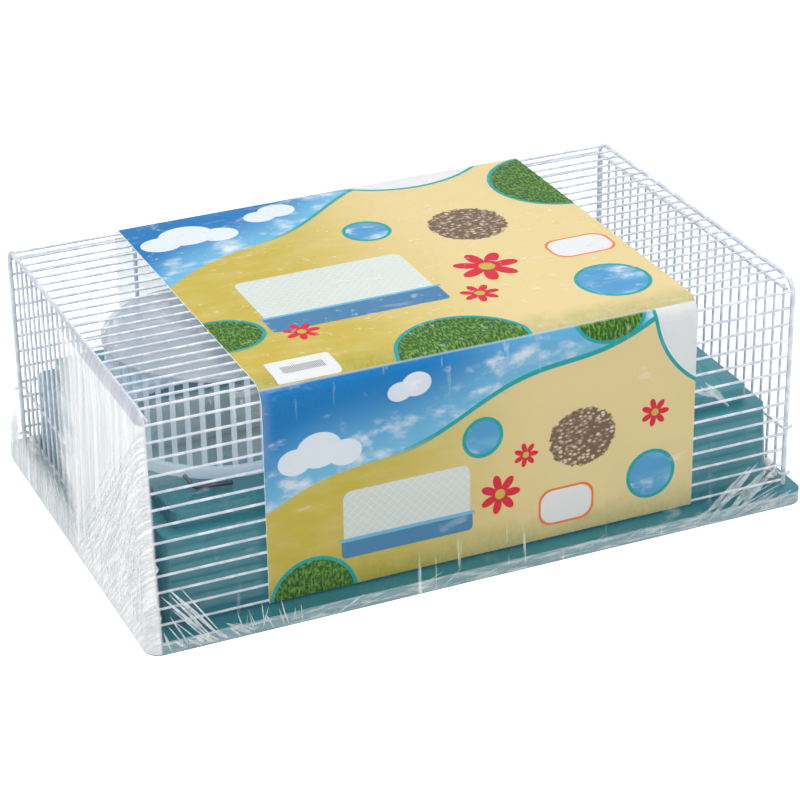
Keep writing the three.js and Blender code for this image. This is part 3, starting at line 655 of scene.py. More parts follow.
    def mould(self, effects: Effects, gloss: Pair, grain: Pair) -> None:
        """Give the material's shader a moulded surface.

        Args:
            effects: the shared node groups.
            gloss: its roughness and how far that varies.
            grain: the scale and the depth of its grain.
        """
        made = self.group(effects.moulding, Roughness=gloss[0], Variation=gloss[1],
                          Grain_Scale=grain[0], Grain_Depth=grain[1]).outputs
        self.write(Roughness=made["Roughness"], Normal=made["Normal"])

    def streaks(self, effects: Effects, along: Place, low: float, high: float) -> Socket:
        """Return the mask of fine streaks.

        Args:
            effects: the shared node groups.
            along: how close the streaks are along each axis.
            low: the noise at which a streak starts.
            high: the noise at which it is full.
        """
        return self.group(effects.streaks, Along_X=along[0], Along_Y=along[1], Along_Z=along[2],
                          Low=low, High=high).outputs[0]

    def looked_at(self) -> Socket:
        """Return 1 where a ray comes from the camera, plainly, through clear stuff or mirrored."""
        path = self.add("LightPath").outputs
        return self.most(path["Is Camera Ray"], path["Is Transmission Ray"], path["Is Glossy Ray"])


def new_material(name: str) -> Graph:
    """Return the writer of a new material's nodes."""
    material = bpy.data.materials.new(name)
    material.use_nodes = True
    return Graph(material.node_tree, material)


def new_group(name: str, inputs: dict[str, float],
              outputs: dict[str, str]) -> tuple[Graph, Sequence, Sequence]:
    """Start a shader node group.

    Args:
        name: the group's name.
        inputs: the names and starting values of its number inputs.
        outputs: the names of its outputs with their socket types.

    Returns:
        The writer of its nodes, the outputs of its input node and the inputs of its output node.
    """
    tree = bpy.data.node_groups.new(name, "ShaderNodeTree")
    for key, value in inputs.items():
        socket = tree.interface.new_socket(key, in_out="INPUT", socket_type="NodeSocketFloat")
        socket.default_value = value
    for key, kind in outputs.items():
        tree.interface.new_socket(key, in_out="OUTPUT", socket_type=kind)
    source = tree.nodes.new("NodeGroupInput")
    result = tree.nodes.new("NodeGroupOutput")
    return Graph(tree), source.outputs, result.inputs


class Effects:
    """The node groups that more than one finish uses."""

    def __init__(self) -> None:
        """Build the groups once."""
        self.moulding = self.build_moulding()
        self.streaks = self.build_streaks()
        self.scuffs = self.build_scuffs()

    @staticmethod
    def build_moulding() -> bpy.types.NodeTree:
        """Return the group for a moulded surface: uneven gloss and a faint orange peel."""
        graph, given, out = new_group(
            "Moulded surface",
            {"Roughness": 0.3, "Variation": 0.1, "Grain Scale": 900.0, "Grain Depth": 0.00002},
            {"Roughness": "NodeSocketFloat", "Normal": "NodeSocketVector"})
        place = graph.place()
        cloud = graph.noise(place, 22, 3)
        spread = graph.both(graph.math("SUBTRACT", cloud, 0.5), given["Variation"])
        graph.feed(out["Roughness"], graph.math("ADD", given["Roughness"], spread, clamp=True))
        grain = graph.noise(place, 1, 2)
        graph.feed(grain.node.inputs["Scale"], given["Grain Scale"])
        bump = graph.add("Bump", {"Height": grain, "Distance": given["Grain Depth"]})
        graph.feed(out["Normal"], bump.outputs[0])
        return graph.tree

    @staticmethod
    def build_streaks() -> bpy.types.NodeTree:
        """Return the group for fine streaks along one axis, as folds in film or brushing on steel."""
        graph, given, out = new_group(
            "Streaks", {"Along X": 1.0, "Along Y": 1.0, "Along Z": 1.0, "Low": 0.5, "High": 0.62},
            {"Mask": "NodeSocketFloat"})
        scale = graph.add("CombineXYZ", {0: given["Along X"], 1: given["Along Y"], 2: given["Along Z"]})
        value = graph.noise(graph.scaled(graph.place(), scale.outputs[0]), 1, 3, 0.6)
        node = graph.add("MapRange", {"Value": value}, interpolation_type="SMOOTHSTEP")
        graph.feed(node.inputs["From Min"], given["Low"])
        graph.feed(node.inputs["From Max"], given["High"])
        graph.feed(out["Mask"], node.outputs[0])
        return graph.tree

    @staticmethod
    def build_scuffs() -> bpy.types.NodeTree:
        """Return the group for faint scuffs and dust: a mask of fine scattered marks."""
        graph, given, out = new_group("Scuffs", {"Scale": 60.0, "Amount": 0.3}, {"Mask": "NodeSocketFloat"})
        place = graph.place()
        bent = graph.scaled(place, (1.0, 0.35, 0.7))
        marks = graph.noise(bent, 1, 6, 0.7)
        graph.feed(marks.node.inputs["Scale"], given["Scale"])
        mask = graph.smooth(marks, 0.58, 0.72)
        graph.feed(out["Mask"], graph.both(mask, given["Amount"]))
        return graph.tree


@dataclass(frozen=True)
class Plastic:
    """A moulded plastic, with uneven gloss, faint scuffs and a cloudy tone."""

    name: str
    colour: Colour
    roughness: float = 0.3
    grain: float = 900.0
    depth: float = 0.00002
    alpha: float = 1.0
    scuff: float = 0.25
    scuff_colour: Colour = rgb(235, 238, 240)

    def build(self, effects: Effects) -> Material:
        """Return the material.

        Args:
            effects: the shared node groups.
        """
        graph = new_material(self.name)
        graph.mould(effects, (self.roughness, 0.16), (self.grain, self.depth))
        scuffs = graph.group(effects.scuffs, Scale=70.0, Amount=self.scuff).outputs[0]
        cloud = graph.noise(graph.place(), 9, 2)
        deep = tuple(0.9 * c for c in self.colour[:3]) + (1.0,)
        base = graph.mix(graph.smooth(cloud, 0.35, 0.7), deep, self.colour)
        graph.write(Base_Color=graph.mix(scuffs, base, self.scuff_colour), Alpha=self.alpha)
        return graph.material


@dataclass(frozen=True)
class WirePaint:
    """The white paint on the wires, a little thicker in runs and cooler in its shade."""

    name: str = "white_wire_paint"
    colour: Colour = rgb(236, 240, 247)
    shade: Colour = rgb(206, 212, 226)
    roughness: float = 0.22

    def build(self, effects: Effects) -> Material:
        """Return the material.

        Args:
            effects: the shared node groups.
        """
        graph = new_material(self.name)
        graph.mould(effects, (self.roughness, 0.2), (420.0, 0.00006))
        runs = graph.smooth(graph.noise(graph.place(), 160, 3), 0.4, 0.66)
        graph.write(Base_Color=graph.mix(runs, self.shade, self.colour), Coat_Weight=0.3)
        return graph.material


@dataclass(frozen=True)
class Steel:
    """Bright drawn steel, with fine marks along its length."""

    name: str
    colour: Colour = rgb(176, 180, 188)
    roughness: float = 0.24
    along: Place = (40.0, 1800.0, 1800.0)

    def build(self, effects: Effects) -> Material:
        """Return the material.

        Args:
            effects: the shared node groups.
        """
        graph = new_material(self.name)
        streaks = graph.streaks(effects, self.along, 0.35, 0.7)
        dark = tuple(0.7 * c for c in self.colour[:3]) + (1.0,)
        graph.write(Base_Color=graph.mix(streaks, self.colour, dark), Metallic=1.0,
                    Roughness=graph.line(streaks, 0.14, self.roughness),
                    Normal=graph.bump(streaks, 0.00002))
        return graph.material


@dataclass(frozen=True)
class WheelPlastic:
    """The milky translucent plastic of the running wheel, mottled on its disc, with painted light below the
    disc.
    """

    name: str = "milky_wheel_plastic"
    colour: Colour = rgb(180, 193, 206)
    pale: Colour = rgb(212, 215, 217)
    # painted light on the parts below the disc, as if shone through it
    painted_glow: Colour = rgb(112, 126, 134)
    disc_height: float = 0.0665
    disc_alpha: float = 0.64
    patch_alpha: float = 0.16
    rung_alpha: float = 0.5
    ring_height: float = 0.008
    ring_alpha: float = 0.62

    def build(self, effects: Effects, foot: float) -> Material:
        """Return the material.

        Args:
            effects: the shared node groups.
            foot: the height that the wheel stands on.
        """
        graph = new_material(self.name)
        place = graph.place()
        z = graph.axes(place)[2]
        disc = graph.smooth(z, foot + self.disc_height - 0.001, foot + self.disc_height)
        ring = graph.smooth(z, foot + self.ring_height, foot + self.ring_height - 0.001)
        mottle = graph.smooth(graph.noise(place, 110, 4, 0.62), 0.42, 0.62)
        alpha = graph.line(disc, self.disc_alpha - self.rung_alpha, self.rung_alpha)
        alpha = graph.line(ring, self.ring_alpha - self.rung_alpha, alpha)
        mask = graph.both(mottle, disc)
        alpha = graph.math("SUBTRACT", alpha, graph.both(mask, self.patch_alpha), clamp=True)
        graph.mould(effects, (0.24, 0.2), (260.0, 0.00008))
        # The parts below the disc emit painted light, as if light shone through the disc onto them.
        graph.write(Base_Color=graph.mix(mask, self.colour, self.pale), Alpha=alpha,
                    Emission_Color=graph.mix(disc, self.painted_glow, BLACK), Emission_Strength=1.0)
        return graph.material


@dataclass(frozen=True)
class PrintPanel:
    """One face of the card's print, with its motifs' places in metres from its lower left corner."""

    sky_line: Spot
    windows: tuple[Spot, ...]
    meadows: tuple[Spot, ...]
    corner: Spot
    trellis: Spot
    seeds: Spot
    badge: Spot
    flowers: tuple[Spot, ...]
    clouds: tuple[Spot, ...]


@dataclass(frozen=True)
class CardPrint:
    """The sleeve's card: sky, sand and meadow, with flowers, seeds and round windows."""

    name: str = "printed_card"
    uv_map: str = "print"
    deep_sky: Colour = rgb(4, 118, 182)
    pale_sky: Colour = rgb(112, 180, 214)
    cloud: Colour = rgb(220, 227, 233)
    sand: Colour = rgb(194, 176, 72)
    cream: Colour = rgb(222, 204, 152)
    teal: Colour = rgb(28, 158, 160)
    slab_blue: Colour = rgb(72, 128, 168)
    lattice_blue: Colour = rgb(206, 222, 226)
    red: Colour = rgb(206, 34, 58)
    orange: Colour = rgb(226, 122, 52)
    grass_dark: Colour = rgb(30, 82, 26)
    grass_light: Colour = rgb(122, 170, 58)
    seed_dark: Colour = rgb(116, 92, 72)
    seed_light: Colour = rgb(226, 208, 184)
    white: Colour = rgb(222, 224, 226)
    ink: Colour = rgb(70, 72, 74)
    bare: Colour = rgb(238, 238, 234)
    # painted light on the bare inner side, standing in for the light that reaches the card's inside
    painted_inside_light: Colour = rgb(180, 181, 180)
    bars: float = 5600.0
    fade: float = 0.055
    fold: float = 0.146
    line: float = 0.0016
    front: PrintPanel = PrintPanel(
        sky_line=(0.062, 0.30, 0.0045),
        windows=((0.146, 0.083, 0.0115, 1.0), (0.266, 0.030, 0.0150, 1.0)),
        meadows=((0.030, -0.004, 0.027, 1.0), (0.236, 0.152, 0.024, 1.2)),
        corner=(0.338, 0.150, 0.070), trellis=(0.094, 0.047, 0.043, 0.019),
        seeds=(0.216, 0.068, 0.024, 1.15), badge=(0.205, 0.022, 0.018, 0.0115),
        flowers=((0.158, 0.040, 0.0140), (0.176, 0.064, 0.0085), (0.268, 0.074, 0.0100)),
        clouds=((0.020, 0.094, 0.011), (0.036, 0.099, 0.015), (0.053, 0.094, 0.011),
                (0.090, 0.127, 0.008), (0.101, 0.130, 0.010)),
    )
    top: PrintPanel = PrintPanel(
        sky_line=(0.156, 0.56, 0.006),
        windows=((0.262, 0.046, 0.0225, 1.0), (0.150, 0.186, 0.014, 1.0)),
        meadows=((0.136, -0.006, 0.044, 1.0), (0.304, 0.214, 0.044, 1.0), (0.004, 0.074, 0.026, 1.2)),
        corner=(0.214, 0.322, 0.078), trellis=(0.096, 0.112, 0.058, 0.032),
        seeds=(0.216, 0.168, 0.027, 1.0), badge=(0.268, 0.104, 0.021, 0.013),
        flowers=((0.198, 0.100, 0.022), (0.176, 0.064, 0.013), (0.052, 0.060, 0.012)),
        clouds=((0.018, 0.224, 0.014), (0.038, 0.231, 0.019), (0.059, 0.224, 0.013),
                (0.094, 0.240, 0.011), (0.108, 0.245, 0.013)),
    )
    label: Spot = (0.034, 0.014, 0.021, 0.0125)
    rules: Pair = (0.0135, 0.0042)

    def grass(self, graph: Graph, place: Socket) -> Socket:
        """Return the colour of the meadow: short blades, light on dark."""
        blades = graph.noise(graph.scaled(place, (1, 0.45, 1)), 620, 5, 0.68)
        patches = graph.noise(place, 70, 3)
        light = graph.both(graph.smooth(blades, 0.44, 0.62), graph.line(patches, 0.9, 0.35))
        return graph.mix(light, self.grass_dark, self.grass_light)

    def sky(self, graph: Graph, place: Socket, near: Socket) -> Socket:
        """Return the colour of the sky, paler and cloudier near its edge.

        Args:
            graph: the material's writer.
            place: the place on the print.
            near: 1 at the sky's edge and 0 far from it.
        """
        puffs = graph.noise(graph.scaled(place, (1, 1.7, 1)), 42, 5, 0.56)
        cover = graph.line(near, 0.16, graph.math("SUBTRACT", puffs, 0.1))
        base = graph.mix(near, self.deep_sky, self.pale_sky)
        return graph.mix(graph.smooth(cover, 0.5, 0.76), base, self.cloud)

    def ringed(self, graph: Graph, colour: Socket, place: Socket, spot: Spot,
               inside: object) -> Socket:
        """Return the print with a round picture in a teal ring on it.

        Args:
            graph: the material's writer.
            colour: the print below.
            place: the place on the panel.
            spot: the picture's centre, radius and stretch.
            inside: its colour.
        """
        centre, radius, stretch = (spot[0], spot[1]), spot[2], spot[3]
        ring = graph.disc(place, centre, radius + self.line * 1.6, stretch)
        colour = graph.mix(ring, colour, self.teal)
        return graph.mix(graph.disc(place, centre, radius, stretch), colour, inside)

    def panel(self, graph: Graph, place: Socket, plan: PrintPanel) -> Socket:
        """Return the colour of one panel of the print.

        Args:
            graph: the material's writer.
            place: the place from the panel's lower left corner.
            plan: where its motifs are.
        """
        across, up = graph.axes(place)[0], graph.axes(place)[1]
        base, slope, swell = plan.sky_line
        wave = graph.both(graph.math("SINE", graph.both(across, 46.0)), swell)
        line = graph.math("ADD", graph.line(across, slope, base), wave)
        over = graph.math("SUBTRACT", up, line)
        ground = graph.mix(graph.smooth(across, 0.06, 0.2), self.sand, self.cream)
        shimmer = graph.smooth(graph.noise(graph.scaled(place, (1, 2.4, 1)), 30, 4, 0.6), 0.4, 0.75)
        ground = graph.mix(graph.both(shimmer, 0.35), ground, self.cream)
        grass = self.grass(graph, place)
        low = graph.smooth(graph.line(graph.noise(place, 60, 3), 0.03, up), 0.042, 0.012)
        ground = graph.mix(graph.both(low, 0.3), ground, grass)
        near = graph.smooth(over, self.fade, 0.0)
        sky = self.sky(graph, place, near)
        colour = graph.mix(graph.smooth(over, 0.0, PRINT_EDGE), ground, sky)
        for centre_x, centre_y, radius in plan.clouds:
            colour = graph.mix(graph.disc(place, (centre_x, centre_y), radius, 1.25), colour, self.cloud)
        edge = graph.smooth(graph.math("ABSOLUTE", over), self.line + PRINT_EDGE, self.line)
        colour = graph.mix(graph.both(edge, graph.smooth(across, 0.07, 0.12)), colour, self.teal)
        colour = self.ringed(graph, colour, place, (*plan.corner, 1.0), self.white)
        for spot in plan.meadows:
            colour = self.ringed(graph, colour, place, spot, grass)
        colour = self.trellis(graph, colour, place, plan)
        for spot in plan.windows:
            pale = graph.line(shimmer, 0.4, 0.5)
            colour = self.ringed(graph, colour, place, spot, self.sky(graph, place, pale))
        colour = self.seeds(graph, colour, place, plan)
        x, y, half_x, half_y = plan.badge
        edge = graph.slab(place, (x, y), (half_x + self.line, half_y + self.line), half_y * 0.8)
        colour = graph.mix(edge, colour, self.orange)
        colour = graph.mix(graph.slab(place, (x, y), (half_x, half_y), half_y * 0.75), colour, self.white)
        for x, y, radius in plan.flowers:
            colour = graph.mix(graph.flower(place, (x, y), radius, 7), colour, self.red)
            colour = graph.mix(graph.disc(place, (x, y), radius * 0.24), colour, self.sand)
        return colour

    def trellis(self, graph: Graph, colour: Socket, place: Socket, plan: PrintPanel) -> Socket:
        """Return the print with the flower trellis over its blue trough on it.

        Args:
            graph: the material's writer.
            colour: the print below.
            place: the place on the print.
            plan: where the motifs are.
        """
        x, y, half_x, half_y = plan.trellis
        axes = graph.axes(place)
        pane = graph.slab(place, (x, y), (half_x, half_y), 0.006)
        colour = graph.mix(graph.both(pane, 0.8), colour, self.lattice_blue)
        for turn in (-1, 1):
            along = graph.line(axes[1], float(turn), axes[0])
            wave = graph.math("ABSOLUTE", graph.math("SINE", graph.both(along, 520.0)))
            slat = graph.smooth(wave, 0.22, 0.12)
            colour = graph.mix(graph.both(slat, pane), colour, self.white)
        trough = (x, y - half_y * 1.12)
        dark = graph.slab(place, trough, (half_x * 1.04, half_y * 0.34), 0.003)
        colour = graph.mix(dark, colour, self.slab_blue)
        rim = graph.slab(place, (x, y - half_y * 0.8), (half_x * 1.08, 0.0011), 0.001)
        return graph.mix(rim, colour, self.pale_sky)

    def seeds(self, graph: Graph, colour: Socket, place: Socket, plan: PrintPanel) -> Socket:
        """Return the print with a heap of mixed seeds on it.

        Args:
            graph: the material's writer.
            colour: the print below.
            place: the place on the print.
            plan: where the motifs are.
        """
        x, y, radius, stretch = plan.seeds
        uneven = graph.line(graph.noise(place, 260, 2), 0.006, -0.003)
        away = graph.math("ADD", graph.length(graph.offset(place, (x, y), stretch)), uneven)
        heap = graph.smooth(away, radius, radius - 0.0012)
        cells = graph.add("TexVoronoi", {"Vector": graph.scaled(place, (1, 1.6, 1)), "Scale": 300.0})
        tone = graph.axes(cells.outputs["Color"])[0]
        shade = graph.mix(graph.smooth(cells.outputs["Distance"], 0.25, 0.6),
                          graph.mix(tone, self.seed_light, self.seed_dark), self.seed_dark)
        return graph.mix(heap, colour, shade)

    def sticker(self, graph: Graph, colour: Socket, place: Socket) -> Socket:
        """Return the top panel with a blank white sticker and its fine rules on it.

        Args:
            graph: the material's writer.
            colour: the print below.
            place: the place on the print.
        """
        x, y, half_x, half_y = self.label
        colour = graph.mix(graph.slab(place, (x, y), (half_x, half_y), 0.002), colour, self.white)
        across = graph.math("SINE", graph.both(graph.axes(place)[0], self.bars))
        rules = graph.both(graph.slab(place, (x, y), self.rules, 0.0003), graph.smooth(across, 0.0, 0.5))
        return graph.mix(rules, colour, self.ink)

    def build(self, sheet: CardSleeve) -> Material:
        """Return the card's material.

        Args:
            sheet: the sleeve, which gives the print its run and its panels.
        """
        graph = new_material(self.name)
        place = graph.add("UVMap", uv_map=self.uv_map).outputs[0]
        axes = graph.axes(place)
        folded = graph.math("MINIMUM", axes[1], graph.math("SUBTRACT", sheet.run, axes[1]))
        front = graph.add("CombineXYZ", {0: axes[0], 1: folded}).outputs[0]
        top_place = graph.offset(place, (0, self.fold))
        top = self.sticker(graph, self.panel(graph, top_place, self.top), top_place)
        on_top = graph.smooth(folded, self.fold, self.fold + PRINT_EDGE)
        colour = graph.mix(on_top, self.panel(graph, front, self.front), top)
        from_fold = graph.math("ABSOLUTE", graph.math("SUBTRACT", folded, self.fold))
        crease = graph.smooth(from_fold, 0.0012, 0.0002)
        colour = graph.mix(graph.both(crease, 0.35), colour, self.white)
        bare = graph.smooth(axes[0], -0.01, -0.02)
        gloss = graph.noise(graph.place(), 14, 3)
        fibre = graph.noise(graph.place(), 700, 3)
        # The bare inner side emits painted light, standing in for the light that reaches the card's inside.
        graph.write(Base_Color=graph.mix(bare, colour, self.bare),
                    Emission_Color=graph.mix(bare, BLACK, self.painted_inside_light),
                    Emission_Strength=1.0, Roughness=graph.line(gloss, 0.22, 0.3),
                    Normal=graph.bump(fibre, 0.00002), Specular_IOR_Level=0.12)
        return graph.material


@dataclass(frozen=True)
class GatheredFilm:
    """The film where it is folded on itself: white at the left, clearer towards the right; its white is
    partly painted glints along the folds.
    """

    name: str = "gathered_film"
    colour: Colour = rgb(240, 244, 246)
    thin: float = 0.3
    thick: float = 0.66
    right: float = 0.52

    def build(self) -> Material:
        """Return the material."""
        graph = new_material(self.name)
        threads = graph.smooth(graph.noise(graph.place(), 150, 3, 0.6), 0.36, 0.66)
        alpha = graph.line(threads, self.thick - self.thin, self.thin)
        fading = graph.smooth(graph.axes(graph.place())[0], 0.02, -0.08)
        fading = graph.line(fading, 1 - self.right, self.right)
        graph.write(Base_Color=self.colour, Alpha=graph.both(alpha, fading),
                    Roughness=graph.line(threads, 0.2, 0.12))
        return graph.material


@dataclass(frozen=True)
class ShrinkWrap:
    """The clear film: nearly unseen where it is smooth, white along its creases and folds, where the
    creases' white is painted highlight.

    A fold runs down the left end from its top front corner; below it the film is crumpled.
    """

    name: str = "shrink_film"
    colour: Colour = rgb(250, 251, 251)
    # painted shade: the film above the eaves is greyed as if the dark inside showed through
    dull: Colour = rgb(196, 201, 211)
    shade: Colour = rgb(214, 218, 221)
    clear: float = 0.012
    # how opaque the painted highlights along the creases are
    crease: float = 0.5
    left_end: float = -0.222
    milky_back: float = 0.070
    milky_front: float = 0.020
    fold_slope: float = 1.085
    fold_start: float = 0.0035
    rim: float = 0.0098
    # milky film round the rim, partly painted glare
    rim_haze_and_glare: float = 0.16
    # painted light on the front film that lightens the shade inside the wheel
    painted_corner_light: float = 0.11
    eaves: float = 0.1513

    def build(self, effects: Effects) -> Material:
        """Return the material.

        Args:
            effects: the shared node groups.
        """
        graph = new_material(self.name)
        place = graph.place()
        x, y, z = graph.axes(place)
        end = graph.smooth(x, self.left_end + 0.002, self.left_end - 0.001)
        crumpled, threads = self.crumple(graph, place, y, z)
        crumpled = graph.both(crumpled, end)
        broad = graph.streaks(effects, (1, 42, 4), 0.36, 0.62)
        fine = graph.streaks(effects, (1, 260, 12), 0.36, 0.62)
        haze = graph.most(self.haze(graph, y, z, end, broad, fine), graph.both(crumpled, 0.95),
                          self.rim_film(graph, place, z), self.painted_front_corner(graph, x, y, z))
        # The white streaks along the creases are painted highlights.
        upright = graph.streaks(effects, (150, 150, 9), 0.6, 0.72)
        slanted = graph.streaks(effects, (26, 90, 60), 0.64, 0.72)
        low = graph.smooth(z, 0.045, 0.008)
        high = graph.smooth(z, 0.120, 0.156)
        creases = graph.both(upright, graph.most(low, graph.both(high, 0.5)))
        creases = graph.most(creases, graph.both(slanted, 0.25))
        alpha = graph.line(creases, self.crease, self.clear)
        alpha = graph.math("ADD", alpha, haze, clamp=True)
        # Painted sheen: the film turns more opaque and white at grazing angles.
        fresnel = graph.add("Fresnel", {"IOR": 1.45}).outputs[0]
        painted_sheen = graph.both(graph.smooth(fresnel, 0.06, 0.6), 0.35)
        streaked = graph.both(graph.both(end, broad), 0.4)
        streaked = graph.most(streaked, graph.both(graph.both(crumpled, threads), 0.7))
        colour = graph.mix(streaked, self.colour, self.shade)
        # Above the eaves the left end is greyed: painted shade of the dark inside seen through the film.
        over = graph.both(graph.smooth(z, self.eaves, self.eaves + 0.002), end)
        folds = graph.noise(graph.scaled(place, (70, 70, 22)), 1, 4, 0.62)
        folds = graph.line(graph.both(crumpled, threads), 0.3, folds)
        graph.write(Base_Color=graph.mix(over, colour, self.dull), Alpha=graph.most(alpha, painted_sheen),
                    Roughness=graph.line(creases, 0.25, 0.14), Normal=graph.bump(folds, 0.0012))
        return graph.material

    def crumple(self, graph: Graph, place: Socket, y: Socket, z: Socket) -> tuple[Socket, Socket]:
        """Return where the left end's film is crumpled, and the slanting threads that fill it.

        Args:
            graph: the material's writer.
            place: the place on the film.
            y: its part along Y.
            z: its height.
        """
        wander = graph.line(graph.noise(place, 26, 3, 0.6), 0.03, -0.015)
        fold = graph.line(y, self.fold_slope, graph.math("ADD", z, wander))
        crumpled = graph.smooth(graph.math("ADD", fold, self.fold_start), 0.004, -0.004)
        across = graph.both(graph.math("ADD", y, z), 430.0)
        along = graph.both(graph.math("SUBTRACT", z, y), 20.0)
        slanting = graph.add("CombineXYZ", {0: across, 1: along}).outputs[0]
        threads = graph.smooth(graph.noise(slanting, 1, 5, 0.66), 0.44, 0.62)
        return crumpled, threads

    def haze(self, graph: Graph, y: Socket, z: Socket, end: Socket, broad: Socket,
             fine: Socket) -> Socket:
        """Return how milky the left end's film is: over its front, in soft upright streaks.

        Args:
            graph: the material's writer.
            y: the place along Y.
            z: the height.
            end: 1 on the left end and 0 elsewhere.
            broad: the mask of broad streaks.
            fine: the mask of fine streaks.
        """
        wander = graph.noise(graph.scaled(graph.place(), (1, 14, 26)), 1, 3, 0.6)
        across = graph.line(wander, 0.07, y)
        front = graph.smooth(across, self.milky_back, self.milky_front)
        low = graph.both(graph.smooth(z, 0.05, 0.015), 0.8)
        front = graph.most(front, low)
        thick = graph.line(broad, 0.16, 0.6)
        thick = graph.line(fine, 0.2, thick)
        return graph.both(graph.both(end, front), thick)

    def painted_front_corner(self, graph: Graph, x: Socket, y: Socket, z: Socket) -> Socket:
        """Return a painted pale veil on the front film in front of the running wheel, lightening the shade
        inside the wheel.
        """
        left = graph.both(graph.smooth(x, -0.140, -0.150), graph.smooth(y, -0.12, -0.13))
        return graph.both(graph.both(left, graph.smooth(z, 0.106, 0.122)), self.painted_corner_light)

    def rim_film(self, graph: Graph, place: Socket, z: Socket) -> Socket:
        """Return how milky the film is where it is drawn round the tub's rim, partly gathered film and
        partly painted glare.
        """
        rim = graph.smooth(z, self.rim, self.rim - 0.0012)
        flow = graph.noise(graph.scaled(place, (46, 46, 420)), 1, 4, 0.62)
        glare = graph.line(graph.smooth(flow, 0.42, 0.68), 0.3, self.rim_haze_and_glare)
        return graph.both(rim, glare)


# The studio.


@dataclass
class Studio:
    """The camera at the photograph's place, a pale floor, a white surround and soft lamps."""

    azimuth: float = -23.52
    elevation: float = 26.88
    roll: float = -0.85
    distance: float = 1.815
    target: Place = (-0.0149, -0.0398, 0.080)
    lens: float = 125.19
    sensor: float = 36.0
    floor_size: float = 12.0
    floor_colour: Colour = (0.86, 0.87, 0.88, 1)
    floor_glow: float = 0.6
    ambient: float = 0.42
    lamps: tuple[tuple[str, Place, float, float], ...] = (
        ("key", (-0.5, -1.4, 1.7), 1.2, 17.0),
        ("top", (0.3, 0.5, 1.9), 1.3, 17.0),
        ("left", (-1.9, -0.4, 0.8), 1.0, 9.0),
        ("right", (1.6, -0.9, 0.9), 1.0, 8.0),
    )

    def camera(self) -> None:
        """Make the camera."""
        turn, tilt, roll = (math.radians(a) for a in (self.azimuth, self.elevation, self.roll))
        away = math.cos(tilt)
        back = Vector((math.sin(turn) * away, -math.cos(turn) * away, math.sin(tilt)))
        right = (-back).cross(Vector((0, 0, 1))).normalized()
        up = right.cross(-back)
        tilted = right * math.cos(roll) + up * math.sin(roll)
        upright = up * math.cos(roll) - right * math.sin(roll)
        data = bpy.data.cameras.new("camera")
        data.lens = self.lens
        data.sensor_width = self.sensor
        data.clip_end = 40
        camera = bpy.data.objects.new("camera", data)
        turned = Matrix((tilted, upright, back)).transposed().to_4x4()
        camera.matrix_world = shift(Vector(self.target) + back * self.distance) @ turned
        bpy.context.collection.objects.link(camera)
        bpy.context.scene.camera = camera

    def surround(self) -> None:
        """Make the world: grey light on the object, and pure white where a ray looks past it."""
        world = bpy.data.worlds.new("surround")
        world.use_nodes = True
        bpy.context.scene.world = world
        graph = Graph(world.node_tree)
        background = world.node_tree.nodes["Background"]
        strength = graph.line(graph.looked_at(), 1 - self.ambient, self.ambient)
        graph.feed(background.inputs["Strength"], strength)
        background.inputs["Color"].default_value = WHITE_LIGHT

    def floor(self) -> None:
        """Make the floor, which looks white and keeps the object's shadow."""
        deselect()
        bpy.ops.mesh.primitive_plane_add(size=self.floor_size, location=(0, 0, 0))
        floor = bpy.context.object
        floor.name = "floor"
        graph = new_material("pale_floor")
        graph.write(Base_Color=self.floor_colour, Roughness=0.9, Specular_IOR_Level=0.0,
                    Emission_Color=WHITE_LIGHT,
                    Emission_Strength=graph.both(graph.looked_at(), self.floor_glow))
        floor.data.materials.append(graph.material)

    def light(self) -> None:
        """Make the soft lamps, each turned to the middle of the cage."""
        for name, place, size, power in self.lamps:
            data = bpy.data.lights.new(name, "AREA")
            data.shape = "DISK"
            data.size = size
            data.energy = power
            lamp = bpy.data.objects.new(name, data)
            lamp.location = place
            lamp.rotation_euler = (Vector(place) - Vector(self.target)).to_track_quat("Z", "Y").to_euler()
            bpy.context.collection.objects.link(lamp)

    def build(self) -> None:
        """Build the whole studio."""
        bpy.context.scene.view_settings.view_transform = "Standard"
        self.camera()
        self.surround()
        self.floor()
        self.light()


# The object.


